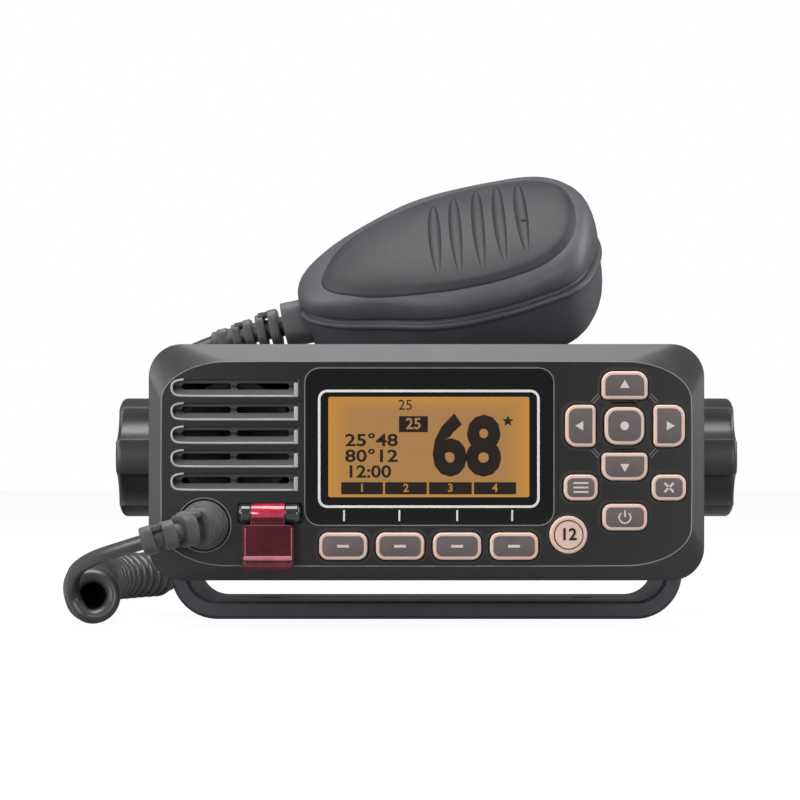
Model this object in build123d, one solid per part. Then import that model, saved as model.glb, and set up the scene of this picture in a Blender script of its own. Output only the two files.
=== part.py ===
from build123d import *
import math
import os

# A fixed-mount VHF marine radio in its tilting yoke, with a fist microphone lying on top of
# the chassis and a curly cord on the surface beside it. Millimetres, +Z up. The origin is the
# centre of the yoke's underside. +X is to the right of someone facing the panel and +Y points
# away from them, so the panel looks along -Y. Depths are counted back from the panel's front.

# ---- pivot and yoke ----
PIVOT_Z = 48.9
YOKE_LEG_THICKNESS = 5.0
YOKE_BASE_THICKNESS = 5.4
YOKE_DEPTH = 41.0
YOKE_CORNER_RADIUS = 14.0
YOKE_HEAD_RADIUS = 15.0
YOKE_SHOULDER_DROP = 16.0
YOKE_CHAMFER = 0.8
YOKE_SLOT_SPACING = 96.0
YOKE_SLOT_LENGTH = 6.8
YOKE_SLOT_WIDTH = 4.8
YOKE_PILOT_RADIUS = 1.4
YOKE_PILOT_Y = -10.0
SIDE_GAP = 2.0

# ---- front panel ----
PANEL_SETBACK = 65.5
PANEL_WIDTH = 156.5
PANEL_HEIGHT = 66.6
PANEL_BELOW_PIVOT = 35.2
PANEL_DEPTH = 16.0
PANEL_WALL = 2.5
PANEL_CORNER_RADIUS = 9.3
FACE_THICKNESS = 3.0
BEVEL_DEPTH = 3.4
BEVEL_SIDE = 3.9
BEVEL_TOP = 5.1
BEVEL_BOTTOM = 4.2
FACE_CORNER_X = 19.0
FACE_CORNER_Z = 11.0
KEY_BAY_INSET_X = 0.8
KEY_BAY_OUTSET_Z = 0.7
SEAL_THICKNESS = 1.2
FLANGE_INSET = 0.6

# ---- chassis ----
CHASSIS_WIDTH = 140.0
CHASSIS_HEIGHT = 56.0
CHASSIS_BELOW_PIVOT = 28.9
CHASSIS_BODY_DEPTH = 79.8
CHASSIS_WALL = 3.0
CHASSIS_REAR_WALL = 4.0
CHASSIS_CORNER_RADIUS = 4.0
CHASSIS_INNER_RADIUS = 3.0
FLANGE_THICKNESS = 3.0
FIN_DEPTH = 10.0
FIN_THICKNESS = 2.0
FIN_PITCH = 7.0
FIN_MARGIN = 4.0
FIN_COUNT = 19

# ---- speaker and its grille ----
SPEAKER_X = -54.0
SPEAKER_Z = 53.0
SPEAKER_RADIUS = 17.0
SPEAKER_RIM_THICKNESS = 1.5
SPEAKER_RIM_WIDTH = 2.0
BASKET_WALL = 1.0
DUST_CAP_RADIUS = 4.0
DUST_CAP_DEPTH = 4.0
CONE_NECK_DEPTH = 5.0
CONE_RIM_DEPTH = 0.6
CONE_THICKNESS = 0.6
CONE_SURROUND_WIDTH = 1.15
CONE_EDGE_GAP = 0.05
MAGNET_RADIUS = 9.0
MAGNET_THICKNESS = 4.5
BASKET_DEPTH = 7.5
GRILLE_LEFT = -71.5
GRILLE_RIGHT = -36.0
GRILLE_LOWEST_LIP = 39.2
GRILLE_PITCH = 6.58
GRILLE_COUNT = 5
GROOVE_HEIGHT = 4.6
GROOVE_DEPTH = 1.5
GROOVE_BACK_HEIGHT = 1.6
CUT_PROUD = 0.5
ROUND_END_LIMIT = 0.02
SLOT_ABOVE_LIP = 2.75
SLOT_HEIGHT = 1.7
SLOT_SPANS = ((-68.7, -54.9), (-53.3, -38.5))

# ---- display ----
WINDOW_X = (-34.0, 35.6)
WINDOW_Z = (29.4, 73.3)
WINDOW_THICKNESS = 1.5
WINDOW_CORNER_RADIUS = 4.0
APERTURE_X = (-30.1, 31.4)
APERTURE_Z = (34.5, 67.0)
APERTURE_RADIUS = 2.5
LCD_MARGIN = 0.9
LCD_THICKNESS = 1.8
LCD_CORNER_RADIUS = 1.6
INSERT_CLEARANCE = 0.1

# ---- keys, keypad mat and front board ----
KEY_RISE = 1.6
KEY_EDGE_RADIUS = 0.5
KEY_GAP = 0.25
KEY_FLANGE = 0.8
KEY_FLANGE_THICKNESS = 1.0
KEY_SEAT_GAP = 0.1
KEY_MAT_GAP = 0.9
MAT_THICKNESS = 1.7
MAT_MARGIN = 0.3
MAT_WINDOW_GAP = 0.2
BOARD_THICKNESS = 1.6
BOARD_LEFT = -52.5
BOARD_STEP_X = -34.8
BOARD_STEP_Z = 30.5
BOARD_RIGHT = 70.0
BOARD_BOTTOM = 17.5
BOARD_TOP = 76.0
BOARD_BOSS_RADIUS = 1.7
BOARD_BOSS_PLACES = ((-31.4, 31.0), (-31.2, 72.3), (67.0, 72.8), (67.0, 20.0))
SOFT_KEY_COUNT = 4
SOFT_KEY_FIRST_X = -23.3
SOFT_KEY_PITCH = 15.93
SOFT_KEY_Z = 23.5
SOFT_KEY_WIDTH = 13.5
SOFT_KEY_HEIGHT = 7.6
SOFT_KEY_RADIUS = 2.6
CHANNEL_KEY_X = 39.7
CHANNEL_KEY_Z = 26.7
CHANNEL_KEY_RADIUS = 5.3
OUTER_CORNER = 3.2
INNER_CORNER = 1.4
# name: (lowest X, highest X), (lowest Z, highest Z), corner radii from lower left, clockwise
SHAPED_KEYS = {
    "key_up": ((49.0, 61.8), (64.6, 72.4), (INNER_CORNER, OUTER_CORNER, OUTER_CORNER, INNER_CORNER)),
    "key_down": ((49.0, 61.8), (41.9, 49.6), (OUTER_CORNER, INNER_CORNER, INNER_CORNER, OUTER_CORNER)),
    "key_left": ((38.8, 47.3), (51.3, 63.0), (OUTER_CORNER, OUTER_CORNER, INNER_CORNER, INNER_CORNER)),
    "key_right": ((63.5, 72.2), (51.3, 63.0), (INNER_CORNER, INNER_CORNER, OUTER_CORNER, OUTER_CORNER)),
    "key_enter": ((49.8, 60.9), (51.9, 62.4), (3.4, 3.4, 3.4, 3.4)),
    "key_menu": ((38.4, 47.9), (36.3, 43.5), (2.5, 2.5, 2.5, 2.5)),
    "key_clear": ((63.0, 72.5), (36.3, 43.5), (2.5, 2.5, 2.5, 2.5)),
    "key_power": ((49.2, 61.7), (27.9, 35.3), (2.5, 2.5, 2.5, 2.5)),
}

# ---- distress button and its hinged cover ----
HINGE_Z = 32.6
HINGE_PROUD = 1.2
HINGE_RADIUS = 2.8
HINGE_PIN_RADIUS = 0.8
PIN_CLEARANCE = 0.05
PIN_END_COVER = 1.0
HINGE_RUN_GAP = 0.3
KNUCKLE_X = (-49.0, -39.4)
LEFT_EAR_X = (-52.5, -49.15)
RIGHT_EAR_X = (-39.25, -35.2)
EAR_EDGE_RADIUS = 1.2
EAR_FOOT_HEIGHT = 2.4
EAR_FOOT_WIDTH = 1.8
COVER_X = (-51.3, -37.0)
COVER_Z = (16.9, 29.4)
COVER_FRONT = -4.2
COVER_THICKNESS = 2.0
COVER_WALL = 1.1
COVER_CORNER_RADIUS = 1.0
COVER_NECK_OVERLAP = 1.0
COVER_NECK_SETBACK = 0.3
COVER_FACE_GAP = 0.3
COVER_BUTTON_GAP = 0.4
BUTTON_TOP_GAP = 0.8
BUTTON_CORNER_RADIUS = 1.2

# ---- cord inlet on the panel ----
INLET_X = -62.3
INLET_Z = 29.4
INLET_RECESS_RADIUS = 7.2
INLET_RECESS_DEPTH = 0.8
INLET_HOLE_RADIUS = 4.2
BOOT_BASE_RADIUS = 6.4
BOOT_BASE_LENGTH = 6.0
BOOT_DOME_RADIUS = 2.6
BOOT_NECK_RADIUS = 3.3
GLAND_LENGTH = 9.0
GLAND_NUT_RADIUS = 5.8
GLAND_NUT_THICKNESS = 3.0

# ---- knobs, bushes, washers ----
KNOB_RADIUS = 18.3
KNOB_LENGTH = 16.8
KNOB_GAP = 0.3
KNOB_EDGE_RADIUS = 1.6
KNOB_LOBES = 5
FLUTE_RADIUS = 9.5
FLUTE_DEPTH = 3.1
STUD_RADIUS = 2.5
STUD_RUN_CLEARANCE = 0.05
STUD_INSET = 12.0
STUD_REACH = 15.0
YOKE_HOLE_CLEARANCE = 0.4
BUSH_RADIUS = 4.0
BUSH_LENGTH = 9.0
BUSH_BOSS_RADIUS = 7.0
PIVOT_PAD_RADIUS = 9.0
PIVOT_PAD_HEIGHT = 0.5
WASHER_RUN_GAP = 0.1

# ---- inside the chassis and on its rear ----
MAIN_BOARD_RISE = 7.0
MAIN_BOARD_SIDE_GAP = 7.0
MAIN_BOARD_FRONT = 26.0
MAIN_BOARD_REAR_GAP = 2.5
BOARD_POST_RADIUS = 3.0
BOARD_POST_INSET = 5.0
SCREW_RADIUS = 1.2
SCREW_HEAD_RADIUS = 2.2
SCREW_HEAD_HEIGHT = 1.4
SCREW_CLEARANCE = 0.05
SCREW_TIP_GAP = 1.0
SMALL_SCREW_RADIUS = 0.6
SMALL_SCREW_HEAD_RADIUS = 1.57
SMALL_SCREW_HEAD_HEIGHT = 1.0
SMALL_SCREW_TIP_GAP = 0.5
SCREW_DRIVE = (3.2, 0.7, 1.6)
PANEL_SCREW_RADIUS = 1.5
PANEL_SCREW_HEAD_RADIUS = 2.5
PANEL_SCREW_HEAD_HEIGHT = 2.0
PANEL_SCREW_INSET_X = 4.4
PANEL_SCREW_INSET_Z = 8.8
PANEL_BOSS_RADIUS = 2.9
SHIELD_SIZE = (50.0, 36.0, 10.0)
SHIELD_WALL = 0.8
SHIELD_CENTRE_X = 5.0
SHIELD_BACK_GAP = 20.0
MODULE_SIZE = (50.0, 12.0, 9.0)
MODULE_CENTRE_X = -26.0
RIBBON_WIDTH = 26.0
RIBBON_THICKNESS = 0.4
RIBBON_X = 10.0
RIBBON_RUN = 12.0
RIBBON_BEND = 3.0
SOCKET_X = 45.0
SOCKET_Z = 56.0
SOCKET_RADIUS = 7.9
SOCKET_WALL = 1.6
SOCKET_OUT = 13.5
SOCKET_IN = 6.0
SOCKET_DEPTH = 9.0
CONTACT_RADIUS = 2.9
CONTACT_BORE = 1.9
SOCKET_PAD_RADIUS = 13.0
NUT_ACROSS_FLATS = 19.0
NUT_THICKNESS = 3.0
SOCKET_CLEARANCE = 0.1
SOCKET_RELIEF_RADIUS = 7.2
SOCKET_RELIEF_LENGTH = 0.8
INLETS = {"power_gland": (8.0, 3.0), "accessory_gland": (24.0, 2.2)}
REAR_INLET_Z = 36.0
REAR_GLAND_WALL = 1.6
REAR_GLAND_LIP = 1.8
REAR_GLAND_LIP_THICKNESS = 1.5
REAR_GLAND_SPOUT = 12.0
SPOUT_FLARE = 0.6
SPOUT_TAPER = 0.4
REAR_INLET_BAY = (34.0, 24.0)

# ---- microphone: U runs along it, V across it, W out of its face ----
MIC_CENTRE = (4.5, -22.0, 104.85)
MIC_ROLL = 13.0
MIC_LEAN = 34.0
MIC_OUTLINE = ((-43.8, 0), (-42.8, 6.5), (-36, 13.7), (-20, 21.9), (-4, 28.6), (12, 30.3), (28, 28.6),
               (37, 25.0), (44, 16), (47.9, 0))
MIC_FRONT_HEIGHT = 16.0
MIC_REAR_HEIGHT = 22.0
# the front's crown: an arc across it, and one that slopes it down toward the cord end
CROWN_ACROSS_RADIUS = 80.0
CROWN_TOP_V = 5.0
CROWN_ALONG_RADIUS = 157.0
CROWN_TOP_U = 10.0
CROWN_MARGIN = 0.6
# share of the half's height, and how far the outline is drawn in there
MIC_FRONT_ROUNDING = ((0.0, 0.0), (0.5, 0.5), (0.78, 2.2), (1.0, 7.0))
MIC_REAR_ROUNDING = ((0.0, 0.0), (0.5, 0.6), (0.85, 2.0), (1.0, 5.0))
MIC_WALL = 2.2
MIC_BOARD_W = -4.0
MIC_BOARD_CLEARANCE = 0.2
MIC_BOARD_INSET = 3.6
MIC_BOARD_BOOT_GAP = 2.4
ELEMENT_RADIUS = 4.9
ELEMENT_LENGTH = 6.0
ELEMENT_PLACE = (24.0, -3.0)
ELEMENT_CROWN_GAP = 0.1
MIC_SLOT_FIRST = 1.5
MIC_SLOT_PITCH = 6.3
MIC_SLOT_COUNT = 5
MIC_SLOT_LENGTH = 34.0
MIC_SLOT_WIDTH = 2.6
MIC_SLOT_DEPTH = 0.9
MIC_SLOT_MIDDLE_V = -2.0
# name: centre along U, length along U, height along W, how far it stands out, travel
MIC_SIDE_BUTTONS = {
    "mic_ptt_button": (4.0, 34.0, 10.0, 2.2, 1.5),
    "mic_key_up": (34.0, 6.4, 6.0, 1.2, 0.8),
    "mic_key_down": (26.0, 6.4, 6.0, 1.2, 0.8),
}
MIC_BUTTON_W = -4.5
MIC_BUTTON_V = 21.0
MIC_BUTTON_GAP = 0.3
HANGER_U = 8.0
HANGER_STUD_RADIUS = 3.0
HANGER_STUD_LENGTH = 5.0
HANGER_HEAD_RADIUS = 7.0
HANGER_HEAD_THICKNESS = 2.6
MIC_SCREW_PLACES = ((-24.0, 5.5), (-24.0, -5.5), (33.0, 15.0), (33.0, -15.0))
MIC_SCREW_LENGTH = 25.5
MIC_TOWER_RADIUS = 3.4
MIC_TOWER_BOARD_GAP = 0.2
MIC_BOOT_START = (-40.5, 0.0, -2.0)
MIC_BOOT_TIP = (-64.8, -9.0, 84.25)
MIC_BOOT_RADII = (6.2, 3.0)
MIC_REST_GAP = 0.3

# ---- curly cord ----
CORD_DIAMETER = 4.2
COIL_DIAMETER = 16.4
BOOT_BEND = (-64.0, -79.0, 28.9)
BOOT_BEND_RADIUS = 6.0
BOOT_TIP = (-76.7, -78.2, 25.3)
FRONT_TAIL_ROUTE = [BOOT_TIP, (-86.5, -72.5, 22.4), (-95.0, -63.0, 19.6), (-101.2, -53.0, 15.6),
                    (-103.0, -44.0, 9.0)]
COIL_ROUTE = [(-96.5, -45.5, 8.3), (-106, 4, 8.3), (-112, 50, 8.3), (-106, 84, 8.3), (-85, 108, 8.3)]
RISE_ROUTE = [COIL_ROUTE[-1], (-76.37, 117.86, 8.3), (-64, 124.5, 9.0), (-51, 120, 10.2), (-44.5, 108, 12),
              (-47, 93, 15.5), (-56, 77, 22), (-66.5, 61.5, 31.5), (-76, 46.5, 43)]
MIC_TAIL_ROUTE = [RISE_ROUTE[-1], (-84.5, 30, 54), (-87.5, 14.5, 69.5), (-78.43, -3.65, 79.80),
                  (-65.07, -8.90, 84.16)]

# ---- worked out from the sizes above ----
PANEL_Y = -PANEL_SETBACK
PANEL_BOTTOM = PIVOT_Z - PANEL_BELOW_PIVOT
PANEL_MID_Z = PANEL_BOTTOM + PANEL_HEIGHT / 2
CHASSIS_BOTTOM = PIVOT_Z - CHASSIS_BELOW_PIVOT
CHASSIS_MID_Z = CHASSIS_BOTTOM + CHASSIS_HEIGHT / 2
CHASSIS_TOP = CHASSIS_BOTTOM + CHASSIS_HEIGHT
CHASSIS_SIDE = CHASSIS_WIDTH / 2
YOKE_INNER_SIDE = CHASSIS_SIDE + SIDE_GAP
YOKE_OUTER_SIDE = YOKE_INNER_SIDE + YOKE_LEG_THICKNESS
SEAL_BACK = PANEL_DEPTH + SEAL_THICKNESS
FLANGE_BACK = SEAL_BACK + FLANGE_THICKNESS
REAR_FACE = FLANGE_BACK + CHASSIS_BODY_DEPTH
FIN_BACK = REAR_FACE + FIN_DEPTH
FLANGE_FRONT_OF_KEYS = FACE_THICKNESS + KEY_SEAT_GAP
KEY_BACK = FLANGE_FRONT_OF_KEYS + KEY_FLANGE_THICKNESS
MAT_FRONT = KEY_BACK + KEY_MAT_GAP
BOARD_FRONT = MAT_FRONT + MAT_THICKNESS
BOARD_BACK = BOARD_FRONT + BOARD_THICKNESS
MAIN_BOARD_Z = CHASSIS_BOTTOM + CHASSIS_WALL + MAIN_BOARD_RISE
MAIN_BOARD_TOP = MAIN_BOARD_Z + BOARD_THICKNESS
MAIN_BOARD_SIDE = CHASSIS_SIDE - CHASSIS_WALL - MAIN_BOARD_SIDE_GAP
REAR_WALL_FRONT = REAR_FACE - CHASSIS_REAR_WALL
HINGE_DEPTH = -HINGE_PROUD
PIN_X = (LEFT_EAR_X[0] + PIN_END_COVER, RIGHT_EAR_X[1] - PIN_END_COVER)
PANEL_SCREW_X = PANEL_WIDTH / 2 - PANEL_SCREW_INSET_X
PANEL_SCREW_REACH = PANEL_HEIGHT / 2 - PANEL_SCREW_INSET_Z
PANEL_SCREW_PLACES = [(sx * PANEL_SCREW_X, PANEL_MID_Z + sz * PANEL_SCREW_REACH)
                      for sx in (-1, 1) for sz in (-1, 1)]
MIC_HALF_WIDTH = max(half_width for _, half_width in MIC_OUTLINE)


# ---- shared shapes ----
def slab(sketch, front, back):
    """A sketch in X and Z made solid between two depths behind the panel's front."""
    return extrude(Plane.XZ.offset(-(PANEL_Y + back)) * sketch, amount=back - front)


def block(x_range, z_range, front, back, radius=0.0):
    """A block from ranges of X and Z and two depths, its edges along Y rounded."""
    width = x_range[1] - x_range[0]
    height = z_range[1] - z_range[0]
    outline = RectangleRounded(width, height, radius) if radius else Rectangle(width, height)
    return slab(Pos(sum(x_range) / 2, sum(z_range) / 2) * outline, front, back)


def along_y(shape, x, z, depth):
    """Place a shape built about +Z so that it points along +Y from a depth."""
    return Pos(x, PANEL_Y + depth, z) * Rot(-90, 0, 0) * shape


def along_x(shape, side, x):
    """Place a shape built about +Z so that it points outwards along X on the pivot axis."""
    return Pos(side * x, 0, PIVOT_Z) * Rot(0, side * 90, 0) * shape


def tube(outer, inner, length):
    """A ring-shaped cylinder that stands on its own base plane."""
    base = (Align.CENTER, Align.CENTER, Align.MIN)
    return Cylinder(outer, length, align=base) - Cylinder(inner, length, align=base)


def rod(radius, length):
    """A cylinder that stands on its own base plane."""
    return Cylinder(radius, length, align=(Align.CENTER, Align.CENTER, Align.MIN))


def eased_rectangle(width, height, corner_x, corner_z):
    """A rectangle with quarter ellipses for corners."""
    flat_x = width / 2 - corner_x
    flat_z = height / 2 - corner_z
    right_top = EllipticalCenterArc((flat_x, flat_z), corner_x, corner_z, 0, arc_size=90)
    top = Line((flat_x, height / 2), (-flat_x, height / 2))
    left_top = EllipticalCenterArc((-flat_x, flat_z), corner_x, corner_z, 90, arc_size=90)
    left = Line((-width / 2, flat_z), (-width / 2, -flat_z))
    left_bottom = EllipticalCenterArc((-flat_x, -flat_z), corner_x, corner_z, 180, arc_size=90)
    bottom = Line((-flat_x, -height / 2), (flat_x, -height / 2))
    right_bottom = EllipticalCenterArc((flat_x, -flat_z), corner_x, corner_z, 270, arc_size=90)
    right = Line((width / 2, -flat_z), (width / 2, flat_z))
    return make_face([right_top, top, left_top, left, left_bottom, bottom, right_bottom, right])


def shaped_rectangle(x_range, z_range, radii):
    """A rectangle with its own radius at each corner, from the lower left, clockwise."""
    x0, x1 = x_range
    z0, z1 = z_range
    outline = Pos((x0 + x1) / 2, (z0 + z1) / 2) * Rectangle(x1 - x0, z1 - z0)
    for corner, radius in zip(((x0, z0), (x0, z1), (x1, z1), (x1, z0)), radii):
        vertex = outline.vertices().sort_by_distance(Vector(corner[0], corner[1], 0))[0]
        outline = fillet(vertex, radius)
    return outline


def route_path(points):
    """Straight runs joined by arcs as large as the runs allow, with the radii used."""
    vectors = [Vector(*point) for point in points]
    radii = []
    for before, here, after in zip(vectors, vectors[1:], vectors[2:]):
        turn = math.radians((here - before).get_angle(after - here))
        shorter = min((here - before).length, (after - here).length)
        radii.append(0.45 * shorter / math.tan(turn / 2))
    return FilletPolyline(*vectors, radius=radii), radii


def route_tube(name, points, diameter):
    """A plain round tube along a cord's route."""
    path, radii = route_path(points)
    start = Plane(origin=points[0], z_dir=path % 0)
    solid = sweep(start * Circle(diameter / 2), path=path)
    ratio = solid.volume / (math.pi * diameter ** 2 / 4 * path.length)
    rounded = [round(radius, 1) for radius in radii]
    print(f"{name}: length {path.length:.1f}, volume ratio {ratio:.4f}, arc radii {rounded}")
    return solid


# ---- yoke ----
def make_yoke():
    head_z = PIVOT_Z + YOKE_HEAD_RADIUS
    outer = Pos(0, head_z / 2) * Rectangle(2 * YOKE_OUTER_SIDE, head_z)
    outer = fillet(outer.vertices().group_by(Axis.Y)[0], YOKE_CORNER_RADIUS)
    inner_height = head_z - YOKE_BASE_THICKNESS
    inner = Pos(0, YOKE_BASE_THICKNESS + inner_height / 2) * Rectangle(2 * YOKE_INNER_SIDE, inner_height)
    inner = fillet(inner.vertices().group_by(Axis.Y)[0], YOKE_CORNER_RADIUS - YOKE_LEG_THICKNESS)
    bent = extrude(Plane.XZ * (outer - inner), amount=YOKE_DEPTH / 2, both=True)
    half = YOKE_DEPTH / 2
    shoulder_z = PIVOT_Z - YOKE_SHOULDER_DROP
    side = make_face(Polyline((-half, 0), (half, 0), (half, shoulder_z), (YOKE_HEAD_RADIUS, PIVOT_Z),
                              (-YOKE_HEAD_RADIUS, PIVOT_Z), (-half, shoulder_z), close=True))
    side += Pos(0, PIVOT_Z) * Circle(YOKE_HEAD_RADIUS)
    yoke = bent & extrude(Plane.YZ * side, amount=YOKE_OUTER_SIDE, both=True)
    along_yoke = yoke.edges().filter_by(Axis.X)
    long_edges = along_yoke.filter_by(lambda edge: abs(abs(edge.center().Y) - half) < 0.01)
    yoke = chamfer(long_edges, YOKE_CHAMFER)
    for side_sign in (-1, 1):
        slot = SlotOverall(YOKE_SLOT_LENGTH, YOKE_SLOT_WIDTH)
        yoke -= extrude(Pos(side_sign * YOKE_SLOT_SPACING / 2, 0) * slot, amount=YOKE_BASE_THICKNESS)
        hole = rod(STUD_RADIUS + YOKE_HOLE_CLEARANCE, YOKE_LEG_THICKNESS)
        yoke -= along_x(hole, side_sign, YOKE_INNER_SIDE)
    yoke -= Pos(0, YOKE_PILOT_Y, 0) * rod(YOKE_PILOT_RADIUS, YOKE_BASE_THICKNESS)
    return yoke


# ---- front panel ----
def panel_outline(inset):
    return Pos(0, PANEL_MID_Z) * RectangleRounded(
        PANEL_WIDTH - 2 * inset, PANEL_HEIGHT - 2 * inset, PANEL_CORNER_RADIUS - inset)


def key_outlines():
    """Every key's outline in X and Z, by name."""
    outlines = {name: shaped_rectangle(*sizes) for name, sizes in SHAPED_KEYS.items()}
    for number in range(SOFT_KEY_COUNT):
        place = Pos(SOFT_KEY_FIRST_X + number * SOFT_KEY_PITCH, SOFT_KEY_Z)
        cap = RectangleRounded(SOFT_KEY_WIDTH, SOFT_KEY_HEIGHT, SOFT_KEY_RADIUS)
        outlines[f"soft_key_{number + 1}"] = place * cap
    outlines["key_channel"] = Pos(CHANNEL_KEY_X, CHANNEL_KEY_Z) * Circle(CHANNEL_KEY_RADIUS)
    return outlines


def button_outline():
    """The distress button's outline, inside its cover's walls."""
    gap = COVER_WALL + COVER_BUTTON_GAP
    width = COVER_X[1] - COVER_X[0] - 2 * gap
    height = COVER_Z[1] - COVER_Z[0] - gap - BUTTON_TOP_GAP
    place = Pos(sum(COVER_X) / 2, COVER_Z[0] + gap + height / 2)
    return place * RectangleRounded(width, height, BUTTON_CORNER_RADIUS)


def grille_cuts():
    """Five sloping grooves, each with two sound slots at its back."""
    cuts = []
    for row in range(GRILLE_COUNT):
        lip = GRILLE_LOWEST_LIP + row * GRILLE_PITCH
        top = lip + GROOVE_HEIGHT
        wedge = make_face(Polyline((PANEL_Y - CUT_PROUD, top), (PANEL_Y + GROOVE_DEPTH, top),
                                   (PANEL_Y + GROOVE_DEPTH, top - GROOVE_BACK_HEIGHT), (PANEL_Y, lip),
                                   (PANEL_Y - CUT_PROUD, lip), close=True))
        length = GRILLE_RIGHT - GRILLE_LEFT
        groove = extrude(Plane.YZ.offset(GRILLE_LEFT) * wedge, amount=length)
        radius = GROOVE_HEIGHT / 2 - ROUND_END_LIMIT
        end_shape = Pos((GRILLE_LEFT + GRILLE_RIGHT) / 2, lip + GROOVE_HEIGHT / 2)
        outline = end_shape * Rectangle(length, GROOVE_HEIGHT)
        outline = fillet(outline.vertices().group_by(Axis.X)[0], radius)
        cuts.append(groove & slab(outline, -CUT_PROUD, GROOVE_DEPTH))
        for span in SLOT_SPANS:
            slot_z = (lip + SLOT_ABOVE_LIP - SLOT_HEIGHT / 2, lip + SLOT_ABOVE_LIP + SLOT_HEIGHT / 2)
            cuts.append(block(span, slot_z, 0, FACE_THICKNESS, SLOT_HEIGHT / 2 - ROUND_END_LIMIT))
    return cuts


def make_panel():
    face_width = PANEL_WIDTH - 2 * BEVEL_SIDE
    face_height = PANEL_HEIGHT - BEVEL_TOP - BEVEL_BOTTOM
    face_mid = PANEL_BOTTOM + BEVEL_BOTTOM + face_height / 2
    back_of_bevel = Pos(0, PANEL_MID_Z) * eased_rectangle(
        PANEL_WIDTH, PANEL_HEIGHT, PANEL_CORNER_RADIUS, PANEL_CORNER_RADIUS)
    front_of_bevel = Pos(0, face_mid) * eased_rectangle(face_width, face_height, FACE_CORNER_X, FACE_CORNER_Z)
    rear_plane = Plane.XZ.offset(-(PANEL_Y + BEVEL_DEPTH))
    bezel = loft([rear_plane * back_of_bevel, Plane.XZ.offset(-PANEL_Y) * front_of_bevel], ruled=True)
    shell = slab(panel_outline(0), BEVEL_DEPTH, PANEL_DEPTH) + bezel
    cavity = eased_rectangle(PANEL_WIDTH - 2 * PANEL_WALL, PANEL_HEIGHT - 2 * PANEL_WALL,
                             PANEL_CORNER_RADIUS - PANEL_WALL, PANEL_CORNER_RADIUS - PANEL_WALL)
    shell -= slab(Pos(0, PANEL_MID_Z) * cavity, FACE_THICKNESS + BEVEL_DEPTH - PANEL_WALL, PANEL_DEPTH)
    inner_face = Pos(0, face_mid) * eased_rectangle(
        face_width - 2 * KEY_BAY_INSET_X, face_height + 2 * KEY_BAY_OUTSET_Z, PANEL_CORNER_RADIUS,
        PANEL_CORNER_RADIUS)
    shell -= slab(inner_face, FACE_THICKNESS, PANEL_DEPTH)
    for x, z in PANEL_SCREW_PLACES:
        shell += along_y(rod(PANEL_BOSS_RADIUS, PANEL_DEPTH - BEVEL_DEPTH), x, z, BEVEL_DEPTH)
        bore = rod(PANEL_SCREW_RADIUS + SCREW_CLEARANCE, PANEL_DEPTH - FACE_THICKNESS - BEVEL_DEPTH)
        shell -= along_y(bore, x, z, FACE_THICKNESS + BEVEL_DEPTH)
    for x, z in BOARD_BOSS_PLACES:
        shell += along_y(rod(BOARD_BOSS_RADIUS, BOARD_FRONT - FACE_THICKNESS), x, z, FACE_THICKNESS)
        bore = rod(SMALL_SCREW_RADIUS + SCREW_CLEARANCE, BOARD_FRONT - FACE_THICKNESS)
        shell -= along_y(bore, x, z, FACE_THICKNESS)
    for outline in key_outlines().values():
        shell -= slab(offset(outline, KEY_GAP), -CUT_PROUD, FACE_THICKNESS)
    shell -= block(WINDOW_X, WINDOW_Z, 0, WINDOW_THICKNESS, WINDOW_CORNER_RADIUS)
    shell -= block(APERTURE_X, APERTURE_Z, 0, FACE_THICKNESS, APERTURE_RADIUS)
    for cut in grille_cuts():
        shell -= cut
    shell -= slab(offset(button_outline(), KEY_GAP), -CUT_PROUD, FACE_THICKNESS)
    recess_x = (LEFT_EAR_X[0] - HINGE_RUN_GAP, RIGHT_EAR_X[1] + HINGE_RUN_GAP)
    shell -= barrel(recess_x, HINGE_RADIUS + HINGE_RUN_GAP)
    for ear in (LEFT_EAR_X, RIGHT_EAR_X):
        shell -= ear_foot(ear, INSERT_CLEARANCE)
    shell -= along_y(rod(INLET_RECESS_RADIUS, INLET_RECESS_DEPTH), INLET_X, INLET_Z, 0)
    shell -= along_y(rod(INLET_HOLE_RADIUS, FACE_THICKNESS), INLET_X, INLET_Z, 0)
    return shell


# ---- distress hinge, cover and button ----
def ear_foot(ear, clearance):
    """The tab that holds a hinge ear in the face."""
    middle = sum(ear) / 2
    half_x = EAR_FOOT_WIDTH / 2 + clearance
    half_z = EAR_FOOT_HEIGHT / 2 + clearance
    return block((middle - half_x, middle + half_x), (HINGE_Z - half_z, HINGE_Z + half_z), 0, FACE_THICKNESS)


def barrel(x_range, radius):
    """A cylinder on the cover's hinge axis."""
    start = Pos(x_range[0], PANEL_Y + HINGE_DEPTH, HINGE_Z) * Rot(0, 90, 0)
    return start * rod(radius, x_range[1] - x_range[0])


def make_hinge_ears():
    ears = []
    for ear in (LEFT_EAR_X, RIGHT_EAR_X):
        solid = barrel(ear, HINGE_RADIUS)
        outer_edge = ear[0] if ear == LEFT_EAR_X else ear[1]
        rim = solid.edges().filter_by(lambda edge: abs(edge.center().X - outer_edge) < 0.01)
        solid = fillet(rim, EAR_EDGE_RADIUS) + ear_foot(ear, 0)
        ears.append(solid - barrel(PIN_X, HINGE_PIN_RADIUS + PIN_CLEARANCE))
    return Compound(children=ears)


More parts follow.
